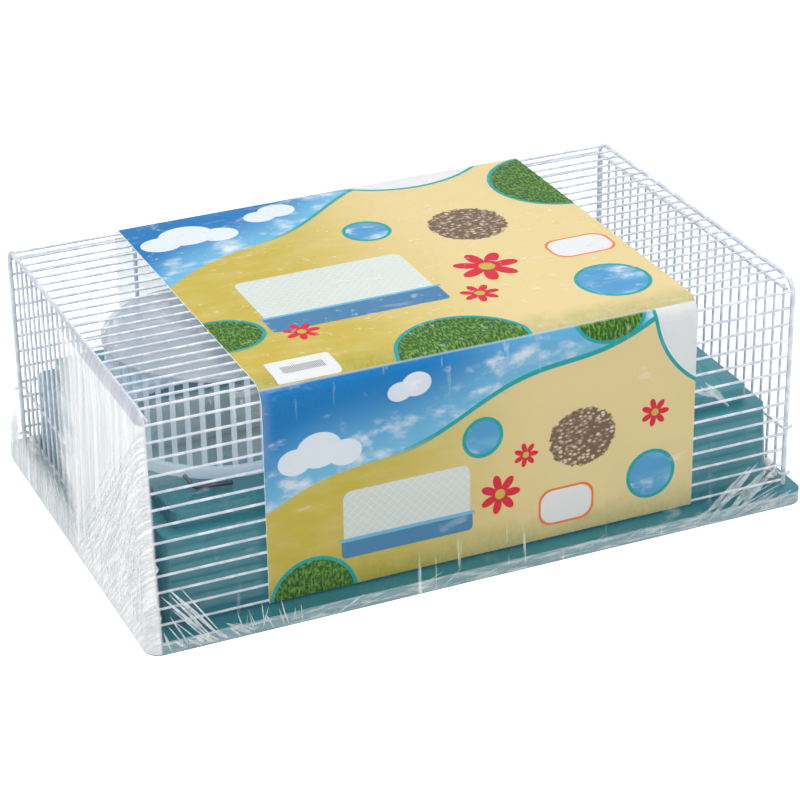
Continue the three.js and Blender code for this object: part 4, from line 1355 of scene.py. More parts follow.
@dataclass
class WireBody:
    """The wire body: the bent sheet, the two end panels and the sliding door."""

    length: float = 0.442
    width: float = 0.2684
    height: float = 0.158
    bend: float = 0.010
    hoop_wire: float = 0.0032
    rib_wire: float = 0.003
    rib_spacing: float = 0.1346
    bar_wire: float = 0.0018
    bars: int = 49
    lowest_bar: float = 0.013
    foot: float = 0.0093
    rib_foot: float = 0.011
    weld: float = 0.0005
    end_bars: int = 24
    end_pitch: float = 0.011
    end_wire: float = 0.0018
    end_inset: float = 0.0024
    rails_over: tuple[int, int] = (0, 3)
    hook_sweep: float = 150.0
    rail_wire: float = 0.002
    top_rail_wire: float = 0.0024
    top_rail_height: float = 0.1517
    hook_clearance: float = 0.0009
    door_opening: float = 0.090
    door_centre: float = 0.067
    sill_bar: int = 2
    lintel_bar: int = 6
    post_wire: float = 0.0024
    door_wire: float = 0.002
    door_overlap: float = 0.0028
    door_stand_off: float = 0.0014
    door_foot_rise: float = 0.0013
    door_top_rise: float = 0.0224
    guide_wire: float = 0.0016
    guide_gap: float = 0.0004

    def __post_init__(self) -> None:
        """Work out the sizes that follow from the fields."""
        self.bend_start = self.height - self.bend
        self.flat_half = self.width / 2 - self.bend
        self.side_run = self.bend_start - self.lowest_bar
        self.bend_run = self.bend * math.pi / 2
        self.run = 2 * (self.side_run + self.bend_run + self.flat_half)
        self.hook_radius = (self.hoop_wire + self.rail_wire) / 2 + self.hook_clearance

    def sheet_place(self, index: int) -> Pair:
        """Return a bar's Y and Z, counted from the lowest at the front over to the back.

        Args:
            index: the bar's number.
        """
        run = index * self.run / (self.bars - 1)
        near = min(run, self.run - run)
        side = -1 if run <= self.run / 2 else 1
        if near <= self.side_run:
            return side * self.width / 2, self.lowest_bar + near
        if near <= self.side_run + self.bend_run:
            turn = (near - self.side_run) / self.bend
            return (side * (self.flat_half + self.bend * math.cos(turn)),
                    self.bend_start + self.bend * math.sin(turn))
        return side * (self.flat_half - (near - self.side_run - self.bend_run)), self.height

    def over_the_top(self, x: float, diameter: float, inset: float, foot: float) -> Piece:
        """Return a wire that runs up the front, over the top and down the back."""
        y, top = self.width / 2 - inset, self.height - inset
        corners = [(x, -y, foot), (x, -y, top), (x, y, top), (x, y, foot)]
        return rod(diameter, corners, self.bend - inset, sides=12)

    def bar_along(self, start: float, end: float, place: Pair) -> Piece:
        """Return a bar along X between two ends at a Y and Z."""
        return rod(self.bar_wire, [(start, *place), (end, *place)])

    def posts(self) -> list[float]:
        """Return the X of the two posts beside the door opening."""
        return [self.door_centre + side * self.door_opening / 2 for side in (-1, 1)]

    def door_sides(self) -> list[float]:
        """Return the X of the door's two side wires."""
        return [x + side * self.door_overlap for x, side in zip(self.posts(), (-1, 1))]

    def door_y(self) -> float:
        """Return the Y of the door's plane, behind the front bars."""
        return -self.width / 2 + self.post_wire / 2 + self.door_stand_off + self.door_wire / 2

    def build_sheet(self) -> Piece:
        """Return the bent sheet of hoops, ribs and long bars, with the doorway in its front."""
        half = self.length / 2
        parts = [self.over_the_top(x, self.hoop_wire, 0, self.foot) for x in (-half, half)]
        inset = (self.bar_wire + self.rib_wire) / 2 - self.weld
        for x in (-self.rib_spacing, 0, self.rib_spacing):
            parts.append(self.over_the_top(x, self.rib_wire, inset, self.rib_foot))
        pattern = self.bar_along(-half, half, (0, 0))
        through = [k for k in range(self.bars) if not self.sill_bar < k < self.lintel_bar]
        places = [self.sheet_place(k) for k in through]
        parts += repeated(pattern, [shift((0, y, z)) for y, z in places])
        left, right = self.posts()
        for k in range(self.sill_bar + 1, self.lintel_bar):
            parts.append(self.bar_along(-half, left, self.sheet_place(k)))
            parts.append(self.bar_along(right, half, self.sheet_place(k)))
        low, high = (self.sheet_place(k)[1] for k in (self.sill_bar, self.lintel_bar))
        for x in (left, right):
            foot = (x, -self.width / 2, low)
            parts.append(rod(self.post_wire, [foot, (x, -self.width / 2, high)]))
        parts += self.door_guides()
        return joined(parts, "bent_wire_sheet")

    def door_guides(self) -> list[Piece]:
        """Return the small hooks that guide the door at two levels on each side."""
        made = []
        reach = (self.door_wire + self.guide_wire) / 2 + self.guide_gap
        hook_y = self.door_y() + reach
        for x, out in zip(self.door_sides(), (-1, 1)):
            heel = x + out * reach
            for level in (self.lintel_bar, self.lintel_bar + 1):
                z = self.sheet_place(level)[1]
                tip = (x - out * self.door_wire / 2, hook_y, z)
                corners = [(heel, -self.width / 2, z), (heel, hook_y, z), tip]
                made.append(rod(self.guide_wire, corners, self.guide_wire, sides=8))
        return made

    def build_end(self, side: int, name: str) -> Piece:
        """Return an end panel: upright bars on three rails, two of them hooked round the hoop.

        Args:
            side: -1 for the left end and 1 for the right one.
            name: the piece's name.
        """
        rail_x = side * (self.length / 2 - self.hook_radius)
        bar_x = rail_x + side * ((self.rail_wire + self.end_wire) / 2 - self.weld)
        reach = self.width / 2 - self.end_inset
        ends = [(rail_x, side * reach, self.top_rail_height) for side in (-1, 1)]
        parts = [rod(self.top_rail_wire, ends)]
        rails = [self.between_bars(index) for index in self.rails_over]
        parts += [self.hooked_rail(side, z) for z in rails]
        low = rails[0] - self.rail_wire / 2
        high = self.top_rail_height + self.top_rail_wire / 2
        first = -(self.end_bars - 1) / 2 * self.end_pitch
        pattern = rod(self.end_wire, [(bar_x, first, low), (bar_x, first, high)])
        moves = [shift((0, k * self.end_pitch, 0)) for k in range(self.end_bars)]
        return joined(parts + repeated(pattern, moves), name)

    def between_bars(self, index: int) -> float:
        """Return the height halfway between a bar and the next one up."""
        return (self.sheet_place(index)[1] + self.sheet_place(index + 1)[1]) / 2

    def hooked_rail(self, side: int, z: float) -> Piece:
        """Return a rail with both ends hooked round the hoop's legs.

        Args:
            side: -1 for the left end and 1 for the right one.
            z: the height.
        """
        hoop_x, hoop_y, radius = side * self.length / 2, self.width / 2, self.hook_radius
        angle = math.radians(self.hook_sweep)
        start = (hoop_x - side * radius * math.cos(angle), -hoop_y - radius * math.sin(angle), z)
        tangent = Vector((side * math.sin(angle), -math.cos(angle), 0)) * -HAIR
        moves = [
            ("run", tuple(tangent)),
            ("bend", (hoop_x, -hoop_y, z), (0, 0, side), -self.hook_sweep),
            ("run", (0, 2 * hoop_y, 0)),
            ("bend", (hoop_x, hoop_y, z), (0, 0, side), -self.hook_sweep),
        ]
        return wire(self.rail_wire, start, moves)

    def build_door(self) -> Piece:
        """Return the sliding door."""
        low = self.sheet_place(self.sill_bar)[1] + self.door_foot_rise
        high = self.sheet_place(self.lintel_bar)[1] + self.door_top_rise
        y, (left, right) = self.door_y(), self.door_sides()
        corners = [(left, y, low), (left, y, high), (right, y, high), (right, y, low)]
        parts = [rod(self.door_wire, corners, 2 * self.door_wire)]
        parts.append(rod(self.door_wire, [(self.door_centre, y, low), (self.door_centre, y, high)]))
        levels = [low + self.door_wire / 2]
        levels += [self.sheet_place(k)[1] for k in range(self.sill_bar + 1, self.lintel_bar)]
        for z in levels:
            parts.append(rod(self.door_wire, [(left, y, z), (right, y, z)]))
        return joined(parts, "wire_door")

    def build(self, palette: Palette) -> None:
        """Build and dress the wire body and its door.

        Args:
            palette: the finishes.
        """
        dress(self.build_sheet(), palette.paint, "front_grille", "back_grille", "top_grille",
              body=Body.WIRES, angle=50)
        for side, word in ((-1, "left"), (1, "right")):
            dress(self.build_end(side, f"{word}_end_wires"), palette.paint, f"{word}_end_panel",
                  body=Body.WIRES, angle=50)
        dress(self.build_door(), palette.paint, "sliding_door", body=Body.DOOR, angle=50)


@dataclass
class Tub:
    """The plastic tub, upside down: rim, drafted wall, ledge and floor panel."""

    length: float = 0.460
    width: float = 0.295
    corner: float = 0.010
    rim_height: float = 0.009
    wall_length: float = 0.427
    wall_width: float = 0.259
    wall_corner: float = 0.008
    draft: float = 0.0035
    ledge_height: float = 0.068
    ledge_end_width: float = 0.0095
    ledge_side_width: float = 0.0075
    step_corner: float = 0.006
    panel_height: float = 0.079
    wall: float = 0.0018
    edge: float = 0.0016
    floor_rim: float = 0.012
    floor_sink: float = 0.0004
    floor_slope: float = 0.001
    corner_steps: int = 8

    def levels(self) -> list[Spot]:
        """Return the shell's outer levels from the foot up: length, width, corner and height."""
        ledge = (self.wall_length - 2 * self.draft, self.wall_width - 2 * self.draft)
        step = (ledge[0] - 2 * self.ledge_end_width, ledge[1] - 2 * self.ledge_side_width)
        field_size = [size - 2 * self.floor_rim for size in step]
        step_corner = self.step_corner
        return [
            (self.length, self.width, self.corner, 0.0),
            (self.length, self.width, self.corner, self.rim_height),
            (self.wall_length, self.wall_width, self.wall_corner, self.rim_height),
            (*ledge, self.wall_corner - self.draft, self.ledge_height),
            (*step, step_corner, self.ledge_height),
            (*step, step_corner, self.panel_height),
            (*(size + self.floor_slope for size in field_size), step_corner, self.panel_height),
            (*field_size, step_corner, self.panel_height - self.floor_sink),
        ]

    def build(self, palette: Palette) -> None:
        """Build and dress the tub.

        Args:
            palette: the finishes.
        """
        piece = bridged("tub_shell", self.levels(), self.corner_steps)
        modify(piece, "SOLIDIFY", thickness=self.wall, offset=-1, use_even_offset=True)
        bevel(piece, self.edge / 2, angle=28, segments=4)
        dress(piece, palette.teal, "tub", angle=35)


@dataclass
class ClosureClips:
    """The white clips that turn on the lowest end rails, each with a grip and a hooked lip."""

    rail_x: float = 0.2175
    rail_y: float = 0.121
    rail_z: float = 0.01873
    barrel_radius: float = 0.0032
    bore_radius: float = 0.0015
    barrel_length: float = 0.0082
    tongue_width: float = 0.014
    tongue: Pair = (0.0004, 0.0028)
    neck_drop: float = 0.0034
    drop: float = 0.0072
    lip_reach: float = 0.002
    lip_height: float = 0.0014
    grips: int = 3

    def block(self, low: Place, high: Place, edge: float = 0.0003) -> Piece:
        """Return a block with soft edges between two corners.

        Args:
            low: its corner with the least X, Y and Z.
            high: its corner with the greatest X, Y and Z.
            edge: the rounding of its edges.
        """
        deselect()
        middle = [(a + b) / 2 for a, b in zip(low, high)]
        bpy.ops.mesh.primitive_cube_add(size=1, location=middle)
        bpy.context.object.scale = [b - a for a, b in zip(low, high)]
        apply_place()
        piece = bpy.context.object
        bevel(piece, edge)
        return piece

    def build_one(self) -> Piece:
        """Return a clip about the origin, with its tongue hanging on the +X side."""
        end, half, (inner, outer) = self.barrel_length / 2, self.tongue_width / 2, self.tongue
        ring = [(self.bore_radius, -end), (self.barrel_radius, -end), (self.barrel_radius, end),
                (self.bore_radius, end), (self.bore_radius, -end)]
        barrel = lathe("clip_barrel", ring, 24, edge=0.0003)
        parts = [
            moved(barrel, Matrix.Rotation(math.pi / 2, 4, "X")),
            self.block((inner, -end, -self.neck_drop - 0.0003), (outer, end, -0.0016)),
            self.block((inner, -half, -self.drop), (outer, half, -self.neck_drop)),
            self.block((-self.lip_reach, -half, -self.drop), (outer, half, self.lip_height - self.drop)),
        ]
        pitch = (self.drop - self.neck_drop) / (self.grips + 1)
        for k in range(self.grips):
            z = -self.neck_drop - (k + 1) * pitch
            low = (outer - 0.0004, 0.0012 - half, z - 0.0003)
            parts.append(self.block(low, (outer + 0.0003, half - 0.0012, z + 0.0003), 0.00012))
        return joined(parts, "clip")

    def build(self, palette: Palette) -> None:
        """Build and dress the four clips.

        Args:
            palette: the finishes.
        """
        pattern = self.build_one()
        for side, word in ((-1, "left"), (1, "right")):
            for end, place in ((-1, "front"), (1, "back")):
                turn = Matrix.Rotation(0 if side > 0 else math.pi, 4, "Z")
                rail = shift((side * self.rail_x, end * self.rail_y, self.rail_z))
                clip = copies(pattern, [rail @ turn])[0]
                clip.name = f"closure_clip_{word}_{place}"
                node = f"clip_{word}_{place}"
                dress(clip, palette.clip, node, body=node)
        bpy.data.objects.remove(pattern, do_unlink=True)


@dataclass
class RunningWheel:
    """The running wheel, lying with its open side down on its stand, with the axle through it."""

    centre: Pair = (-0.1345, -0.0225)
    floor: float = 0.0793
    radius: float = 0.0715
    height: float = 0.0692
    disc: float = 0.0026
    ring_height: float = 0.007
    ring_wall: float = 0.0048
    rungs: int = 46
    rung_width: float = 0.0036
    rung_depth: float = 0.002
    hub_radius: float = 0.011
    hub_height: float = 0.009
    hub_rise: float = 0.0015
    bore: float = 0.0033
    recess: float = 0.0007
    spokes: int = 12
    spoke_width: float = 0.0016
    axle: float = 0.003
    head_radius: float = 0.007
    head_height: float = 0.003
    socket: float = 0.020
    gap: float = 0.0003
    foot_size: Place = (0.104, 0.026, 0.003)

    def build_drum(self) -> Piece:
        """Return the drum: disc with a raised edge, hub and spokes, rungs, and the foot ring."""
        low, high = self.floor, self.floor + self.height
        inner = self.radius - self.ring_wall
        face = high - self.disc
        profile = [
            (self.bore, high - self.hub_height), (self.hub_radius, high - self.hub_height),
            (self.hub_radius, face), (self.radius, face), (self.radius, high),
            (self.radius - 0.003, high), (self.radius - 0.0038, high - self.recess),
            (self.hub_radius + 0.0012, high - self.recess), (self.hub_radius, high),
            (self.hub_radius, high + self.hub_rise), (self.bore, high + self.hub_rise),
            (self.bore, high - self.hub_height),
        ]
        place = (*self.centre, 0)
        parts = [lathe("wheel_disc", profile, 96, place)]
        hoop = [(inner, low), (self.radius, low), (self.radius, low + self.ring_height),
                (inner, low + self.ring_height), (inner, low)]
        parts.append(lathe("wheel_hoop", hoop, 96, place, 0.0006))
        middle = self.radius - self.ring_wall / 2
        rise = self.height - self.disc - self.ring_height + 0.0008
        rung = rounded_slab("rung", (self.rung_depth, self.rung_width, rise), 0.0008,
                            (middle, 0, low + self.ring_height - 0.0004), 0.0002, 2)
        axis = shift(place)
        parts += repeated(rung, [axis @ turn for turn in around(self.rungs)])
        reach = inner - self.hub_radius
        spoke = rounded_slab("spoke", (reach, self.spoke_width, 0.0016), 0.0005,
                             (self.hub_radius + reach / 2, 0, face - 0.0014), 0.0003, 2)
        parts += repeated(spoke, [axis @ turn for turn in around(self.spokes)])
        return joined(parts, "wheel_drum")

    def build_stand(self) -> Piece:
        """Return the stand: a long round-ended foot and a tapering column with a socket."""
        x, y = self.centre
        foot_top = self.floor + self.foot_size[2]
        foot = rounded_slab("stand_foot", self.foot_size, self.foot_size[1] / 2 - 1e-4,
                            (x, y, self.floor), 0.0008)
        top = self.floor + self.height - self.hub_height - self.gap
        column = lathe("stand_column", [
            (0, foot_top - 0.0015), (0.0115, foot_top - 0.0015), (0.0092, foot_top + 0.0025),
            (0.0065, top), (self.bore, top), (self.bore, top - self.socket), (0, top - self.socket),
        ], 40, (x, y, 0), 0.0004)
        return joined([foot, column], "wheel_bracket")

    def build_axle(self) -> Piece:
        """Return the axle with its domed head."""
        low = self.floor + self.height - self.hub_height - self.socket
        head = self.floor + self.height + self.hub_rise + self.gap
        top = head + self.head_height
        profile = [(0, low), (self.axle, low), (self.axle, head), (self.head_radius, head),
                   (self.head_radius, head + self.head_height * 0.45), (0.0052, top - 0.0004),
                   (0.003, top), (0, top)]
        return lathe("wheel_pin", profile, 40, (*self.centre, 0))

    def build(self, palette: Palette) -> None:
        """Build and dress the wheel, its stand and its axle.

        Args:
            palette: the finishes.
        """
        dress(self.build_drum(), palette.milky, "running_wheel", body=Body.WHEEL)
        dress(self.build_stand(), palette.teal, "wheel_stand")
        dress(self.build_axle(), palette.steel, "wheel_axle")


@dataclass
class CardSleeve:
    """The printed card, folded over the front, the top and the back."""

    left: float = -0.147
    right: float = 0.150
    foot: float = 0.012
    side: float = 0.1362
    top: float = 0.1600
    bend: float = 0.0120
    thickness: float = 0.0005
    cell: float = 0.009
    bend_steps: int = 10
    wave: float = 0.00022
    wave_count: float = 14
    uv_map: str = "print"

    def __post_init__(self) -> None:
        """Work out the runs of the sheet."""
        self.rise = self.top - self.bend - self.foot
        self.curve = self.bend * math.pi / 2
        self.flat = self.side - self.bend
        self.run = 2 * (self.rise + self.curve + self.flat)

    def along(self, y: float, z: float) -> float:
        """Return how far a point lies along the sheet, from its front foot over to the back.

        Args:
            y: the place along Y.
            z: the height.
        """
        out, up = abs(y) - self.flat, z - self.top + self.bend
        if out <= 1e-4:
            near = self.rise + self.curve - out
        elif up <= 0:
            near = z - self.foot
        else:
            near = self.rise + self.bend * math.atan2(up, out)
        return near if y < 0 else self.run - near

    def build(self, palette: Palette) -> None:
        """Build and dress the sleeve.

        Args:
            palette: the finishes.
        """
        start_at((self.left, -self.side, self.foot))
        columns = round((self.right - self.left) / self.cell)
        pull(((self.right - self.left) / columns, 0, 0), columns)
        pick_all()
        rows = round(self.rise / self.cell)
        pull((0, 0, self.rise / rows), rows)
        self.fold(-1)
        lanes = round(2 * self.flat / self.cell)
        pull((0, 2 * self.flat / lanes, 0), lanes)
        self.fold(1)
        pull((0, 0, -self.rise / rows), rows)
        piece = settled("card_sleeve_sheet")
        self.ripple(piece.data)
        modify(piece, "SOLIDIFY", thickness=self.thickness, offset=0)
        self.lay_print(piece.data)
        dress(piece, palette.card, "card_sleeve", body=Body.PACKING)

    def fold(self, side: int) -> None:
        """Bend the sheet over the top's front edge (side -1) or its back edge (side 1)."""
        centre = (0, side * self.flat, self.top - self.bend)
        bpy.ops.mesh.spin(steps=self.bend_steps, angle=-math.pi / 2, center=centre, axis=(-1, 0, 0))

    def lay_print(self, mesh: bpy.types.Mesh) -> None:
        """Give the sheet's outer side its print's places, in metres from its left front corner.

        The inner side and the cut edges get a place left of the sheet, where the card is bare.

        Args:
            mesh: the sheet's mesh.
        """
        layer = mesh.uv_layers.new(name=self.uv_map)
        middle = Vector((0, 0, self.top / 2))
        for face in mesh.polygons:
            away = face.center - middle
            printed = abs(face.normal.x) < 0.5 and face.normal.dot(Vector((0, away.y, away.z))) > 0
            for index in face.loop_indices:
                place = mesh.vertices[mesh.loops[index].vertex_index].co
                across = place.x - self.left if printed else -1.0
                layer.data[index].uv = (across, self.along(place.y, place.z))

    def ripple(self, mesh: bpy.types.Mesh) -> None:
        """Make the sheet a little uneven.

        Args:
            mesh: the sheet's mesh.
        """
        for vertex in mesh.vertices:
            lift = self.wave * noise.noise(vertex.co * self.wave_count)
            if abs(vertex.co.y) > self.flat:
                vertex.co.y += lift
            else:
                vertex.co.z += lift


@dataclass
class ShrinkFilm:
    """The clear film: a hood over everything, crinkled at its ends and gathered at its corners."""

    levels: tuple[Spot, ...] = (
        (0.1607, 0.2228, 0.1361, 0.0062),
        (0.1565, 0.2244, 0.1377, 0.0062),
        (0.1498, 0.2261, 0.1394, 0.0062),
        (0.0094, 0.2304, 0.1479, 0.0104),
        (0.0008, 0.2304, 0.1479, 0.0104),
    )
    cell: float = 0.006
    card_ends: Pair = (-0.151, 0.154)
    sag: float = 0.0009
    crinkle: float = 0.0014
    free_from: Pair = (0.012, 0.03)
    free_to: Pair = (0.156, 0.02)

    def section(self, height: float) -> Spot:
        """Return the hood's half length, half width and corner radius at a height.

        Args:
            height: the height.
        """
        for above, below in zip(self.levels, self.levels[1:]):
            if height >= below[0] - 1e-6:
                share = (above[0] - height) / (above[0] - below[0])
                return tuple(a + (b - a) * max(0.0, share) for a, b in zip(above[1:], below[1:]))
        return self.levels[-1][1:]

    def steps(self) -> list[float]:
        """Return the heights of the hood's rings below its top."""
        heights = []
        for above, below in zip(self.levels, self.levels[1:]):
            count = max(1, round((above[0] - below[0]) / self.cell))
            heights += [above[0] + (below[0] - above[0]) * (k + 1) / count for k in range(count)]
        return heights

    def build(self, palette: Palette) -> None:
        """Build and dress the film.

        Args:
            palette: the finishes.
        """
        top, half_x, half_y, _ = self.levels[0]
        deselect()
        lanes = [round(2 * half / self.cell) for half in (half_x, half_y)]
        bpy.ops.mesh.primitive_grid_add(x_subdivisions=lanes[0], y_subdivisions=lanes[1], size=1,
                                        location=(0, 0, top))
        bpy.context.object.scale = (2 * half_x, 2 * half_y, 1)
        into_edit()
        pick_rims()
        here = top
        for height in self.steps():
            pull((0, 0, height - here))
            here = height
        piece = settled("shrink_film_hood")
        for vertex in piece.data.vertices:
            vertex.co = self.drape(vertex.co, half_x, half_y)
        dress(piece, palette.film, "shrink_film", body=Body.PACKING, angle=180)

    def drape(self, place: Vector, half_x: float, half_y: float) -> Vector:
        """Return where a point of the straight hood lies once the film is shrunk on.

        Args:
            place: a point of the straight hood.
            half_x: half the straight hood's length.
            half_y: half the straight hood's width.
        """
        reach_x, reach_y, corner = self.section(place.z)
        x, y = place.x / half_x * reach_x, place.y / half_y * reach_y
        over_x, over_y = abs(x) - reach_x + corner, abs(y) - reach_y + corner
        if over_x > 0 and over_y > 0:
            fit = max(over_x, over_y) / math.hypot(over_x, over_y)
            x = math.copysign(reach_x - corner + over_x * fit, x)
            y = math.copysign(reach_y - corner + over_y * fit, y)
        if place.z > self.levels[0][0] - 1e-6:
            return Vector((x, y, place.z + self.slack(x, y)))
        return self.crease(Vector((x, y, place.z)), reach_x, reach_y)

    def slack(self, x: float, y: float) -> float:
        """Return how far the film's top lies above or below its level, lower off the card."""
        broad, fine = Vector((x * 26, y * 60, 0.3)), Vector((x * 90, y * 90, 1.7))
        wave = noise.noise(broad) * 0.6 + noise.noise(fine) * 0.4
        off_card = x < self.card_ends[0] or x > self.card_ends[1]
        return self.sag * (0.35 * wave - 0.65) if off_card else 0.0002 * wave

    def crease(self, place: Vector, reach_x: float, reach_y: float) -> Vector:
        """Return a point of the hood's side, drawn in where the film is creased.

        Args:
            place: a point of the hood's side.
            reach_x: half the film's length there.
            reach_y: half the film's width there.
        """
        above = (place.z - self.free_from[0]) / self.free_from[1]
        below = (self.free_to[0] - place.z) / self.free_to[1]
        free = min(1.0, max(0.0, above)) * min(1.0, max(0.0, below))
        run = place.x * 70 if abs(abs(place.y) - reach_y) < 1e-4 else place.y * 70
        fold = 1 - abs(noise.noise(Vector((run, place.z * 11, place.x * 3))))
        depth = self.crinkle * free * fold ** 2
        return Vector((place.x * (1 - depth / reach_x), place.y * (1 - depth / reach_y), place.z))


@dataclass(frozen=True)
class Fan:
    """A fan of creases on one side of the film.

    Each end is a span along the side and a span of heights: the first crease runs from the
    spans' first values, the last from their second ones.
    """

    side: str
    foot: tuple[Pair, Pair]
    head: tuple[Pair, Pair]
    count: int
    width: float = 0.001
    jitter: float = 0.004


@dataclass
class FilmCreases:
    """The white slivers where the film is gathered: thin folds that run in fans, their white partly painted
    glints.
    """

    fans: tuple[Fan, ...] = (
        Fan("front", ((-0.190, -0.180), (0.001, 0.003)),
            ((-0.222, -0.204), (0.040, 0.046)), 4, 0.0030, 0.003),
        Fan("front", ((-0.214, -0.184), (0.002, 0.002)),
            ((-0.222, -0.206), (0.016, 0.034)), 7, 0.0020, 0.005),
        Fan("front", ((-0.204, -0.160), (0.001, 0.001)),
            ((-0.212, -0.172), (0.009, 0.012)), 9, 0.0036, 0.004),
        Fan("front", ((-0.172, -0.132), (0.001, 0.001)),
            ((-0.174, -0.132), (0.018, 0.012)), 10, 0.0012, 0.004),
        Fan("front", ((-0.160, -0.140), (0.002, 0.002)),
            ((-0.163, -0.142), (0.026, 0.020)), 2, 0.0009, 0.002),
        Fan("front", ((-0.120, 0.120), (0.001, 0.001)),
            ((-0.112, 0.134), (0.009, 0.009)), 15, 0.0012, 0.010),
        Fan("front", ((0.118, 0.200), (0.001, 0.001)),
            ((0.196, 0.222), (0.030, 0.010)), 6, 0.0016, 0.005),
        Fan("front", ((0.140, 0.182), (0.001, 0.004)),
            ((0.180, 0.214), (0.038, 0.034)), 4, 0.0080, 0.003),
        Fan("front", ((0.166, 0.204), (0.001, 0.001)),
            ((0.200, 0.222), (0.014, 0.010)), 4, 0.0052, 0.003),
        Fan("front", ((0.172, 0.166), (0.082, 0.091)),
            ((0.155, 0.144), (0.103, 0.098)), 3, 0.0052, 0.001),
        Fan("left", ((-0.140, 0.010), (0.002, 0.002)),
            ((-0.140, -0.128), (0.090, 0.146)), 20, 0.0015, 0.006),
        Fan("left", ((-0.140, 0.040), (0.001, 0.001)),
            ((-0.124, 0.070), (0.030, 0.040)), 24, 0.0014, 0.010),
        Fan("left", ((0.040, 0.140), (0.001, 0.001)),
            ((0.050, 0.138), (0.034, 0.030)), 12, 0.0016, 0.010),
        Fan("right", ((-0.130, 0.130), (0.001, 0.001)),
            ((-0.136, 0.136), (0.030, 0.036)), 18, 0.0010, 0.012),
    )
    seed: int = 11

    def sheet_place(self, side: str, along: float, height: float, hood: ShrinkFilm) -> Vector:
        """Return a place on a side of the film, from its run along that side and its height.

        Args:
            side: the side of the film.
            along: the run along the side.
            height: the height.
            hood: the film.
        """
        reach_x, reach_y, corner = hood.section(height)
        if side == "front":
            reach = reach_x - corner
            return Vector((min(reach, max(-reach, along)), -reach_y, height))
        reach = reach_y - corner
        x = reach_x if side == "right" else -reach_x
        return Vector((x, min(reach, max(-reach, along)), height))

    def pattern(self) -> Piece:
        """Return a sliver one unit long: a flat spindle with sharp tips."""
        deselect()
        bpy.ops.mesh.primitive_circle_add(vertices=6, radius=0.06, location=(0, 0, 0))
        into_edit()
        for rise, size in ((0.22, 5.0), (0.22, 1.7), (0.26, 0.8), (0.3, 0.08)):
            pull((0, 0, rise))
            bpy.ops.transform.resize(value=(size, size, 1), center_override=(0, 0, 0))
        close_ends()
        return settled("sliver")

    def build(self, palette: Palette) -> None:
        """Build and dress the creases.

        Args:
            palette: the finishes.
        """
        hood = ShrinkFilm()
        chance = random.Random(self.seed)
        moves = []
        for fan in self.fans:
            for k in range(fan.count):
                share = (k + chance.uniform(0.1, 0.9)) / fan.count
                ends = []
                for (along_first, along_last), (low, high) in (fan.foot, fan.head):
                    along = along_first + (along_last - along_first) * share
                    along += chance.uniform(-1, 1) * fan.jitter
                    height = low + (high - low) * share + chance.uniform(-0.5, 0.5) * fan.jitter
                    ends.append((along, max(0.001, height)))
                start, end = (self.sheet_place(fan.side, *place, hood) for place in ends)
                moves.append(self.laid(start, end, fan.width * chance.uniform(0.35, 1.1), fan.side))
        piece = joined(repeated(self.pattern(), moves), "film_folds")
        dress(piece, palette.gathered, body=Body.PACKING)

    def laid(self, start: Vector, end: Vector, width: float, side: str) -> Matrix:
        """Return the move that lays a sliver from a start to an end, flat on a side.

        Args:
            start: where the sliver starts.
            end: where it ends.
            width: its width.
            side: the side of the film.
        """
        along = end - start
        out = Vector((0, -1, 0)) if side == "front" else Vector((1 if side == "right" else -1, 0, 0))
        across = along.cross(out).normalized()
        flat = across.cross(along).normalized()
        turned = Matrix((across * width, flat * 0.0001, along)).transposed().to_4x4()
        return shift(start) @ turned


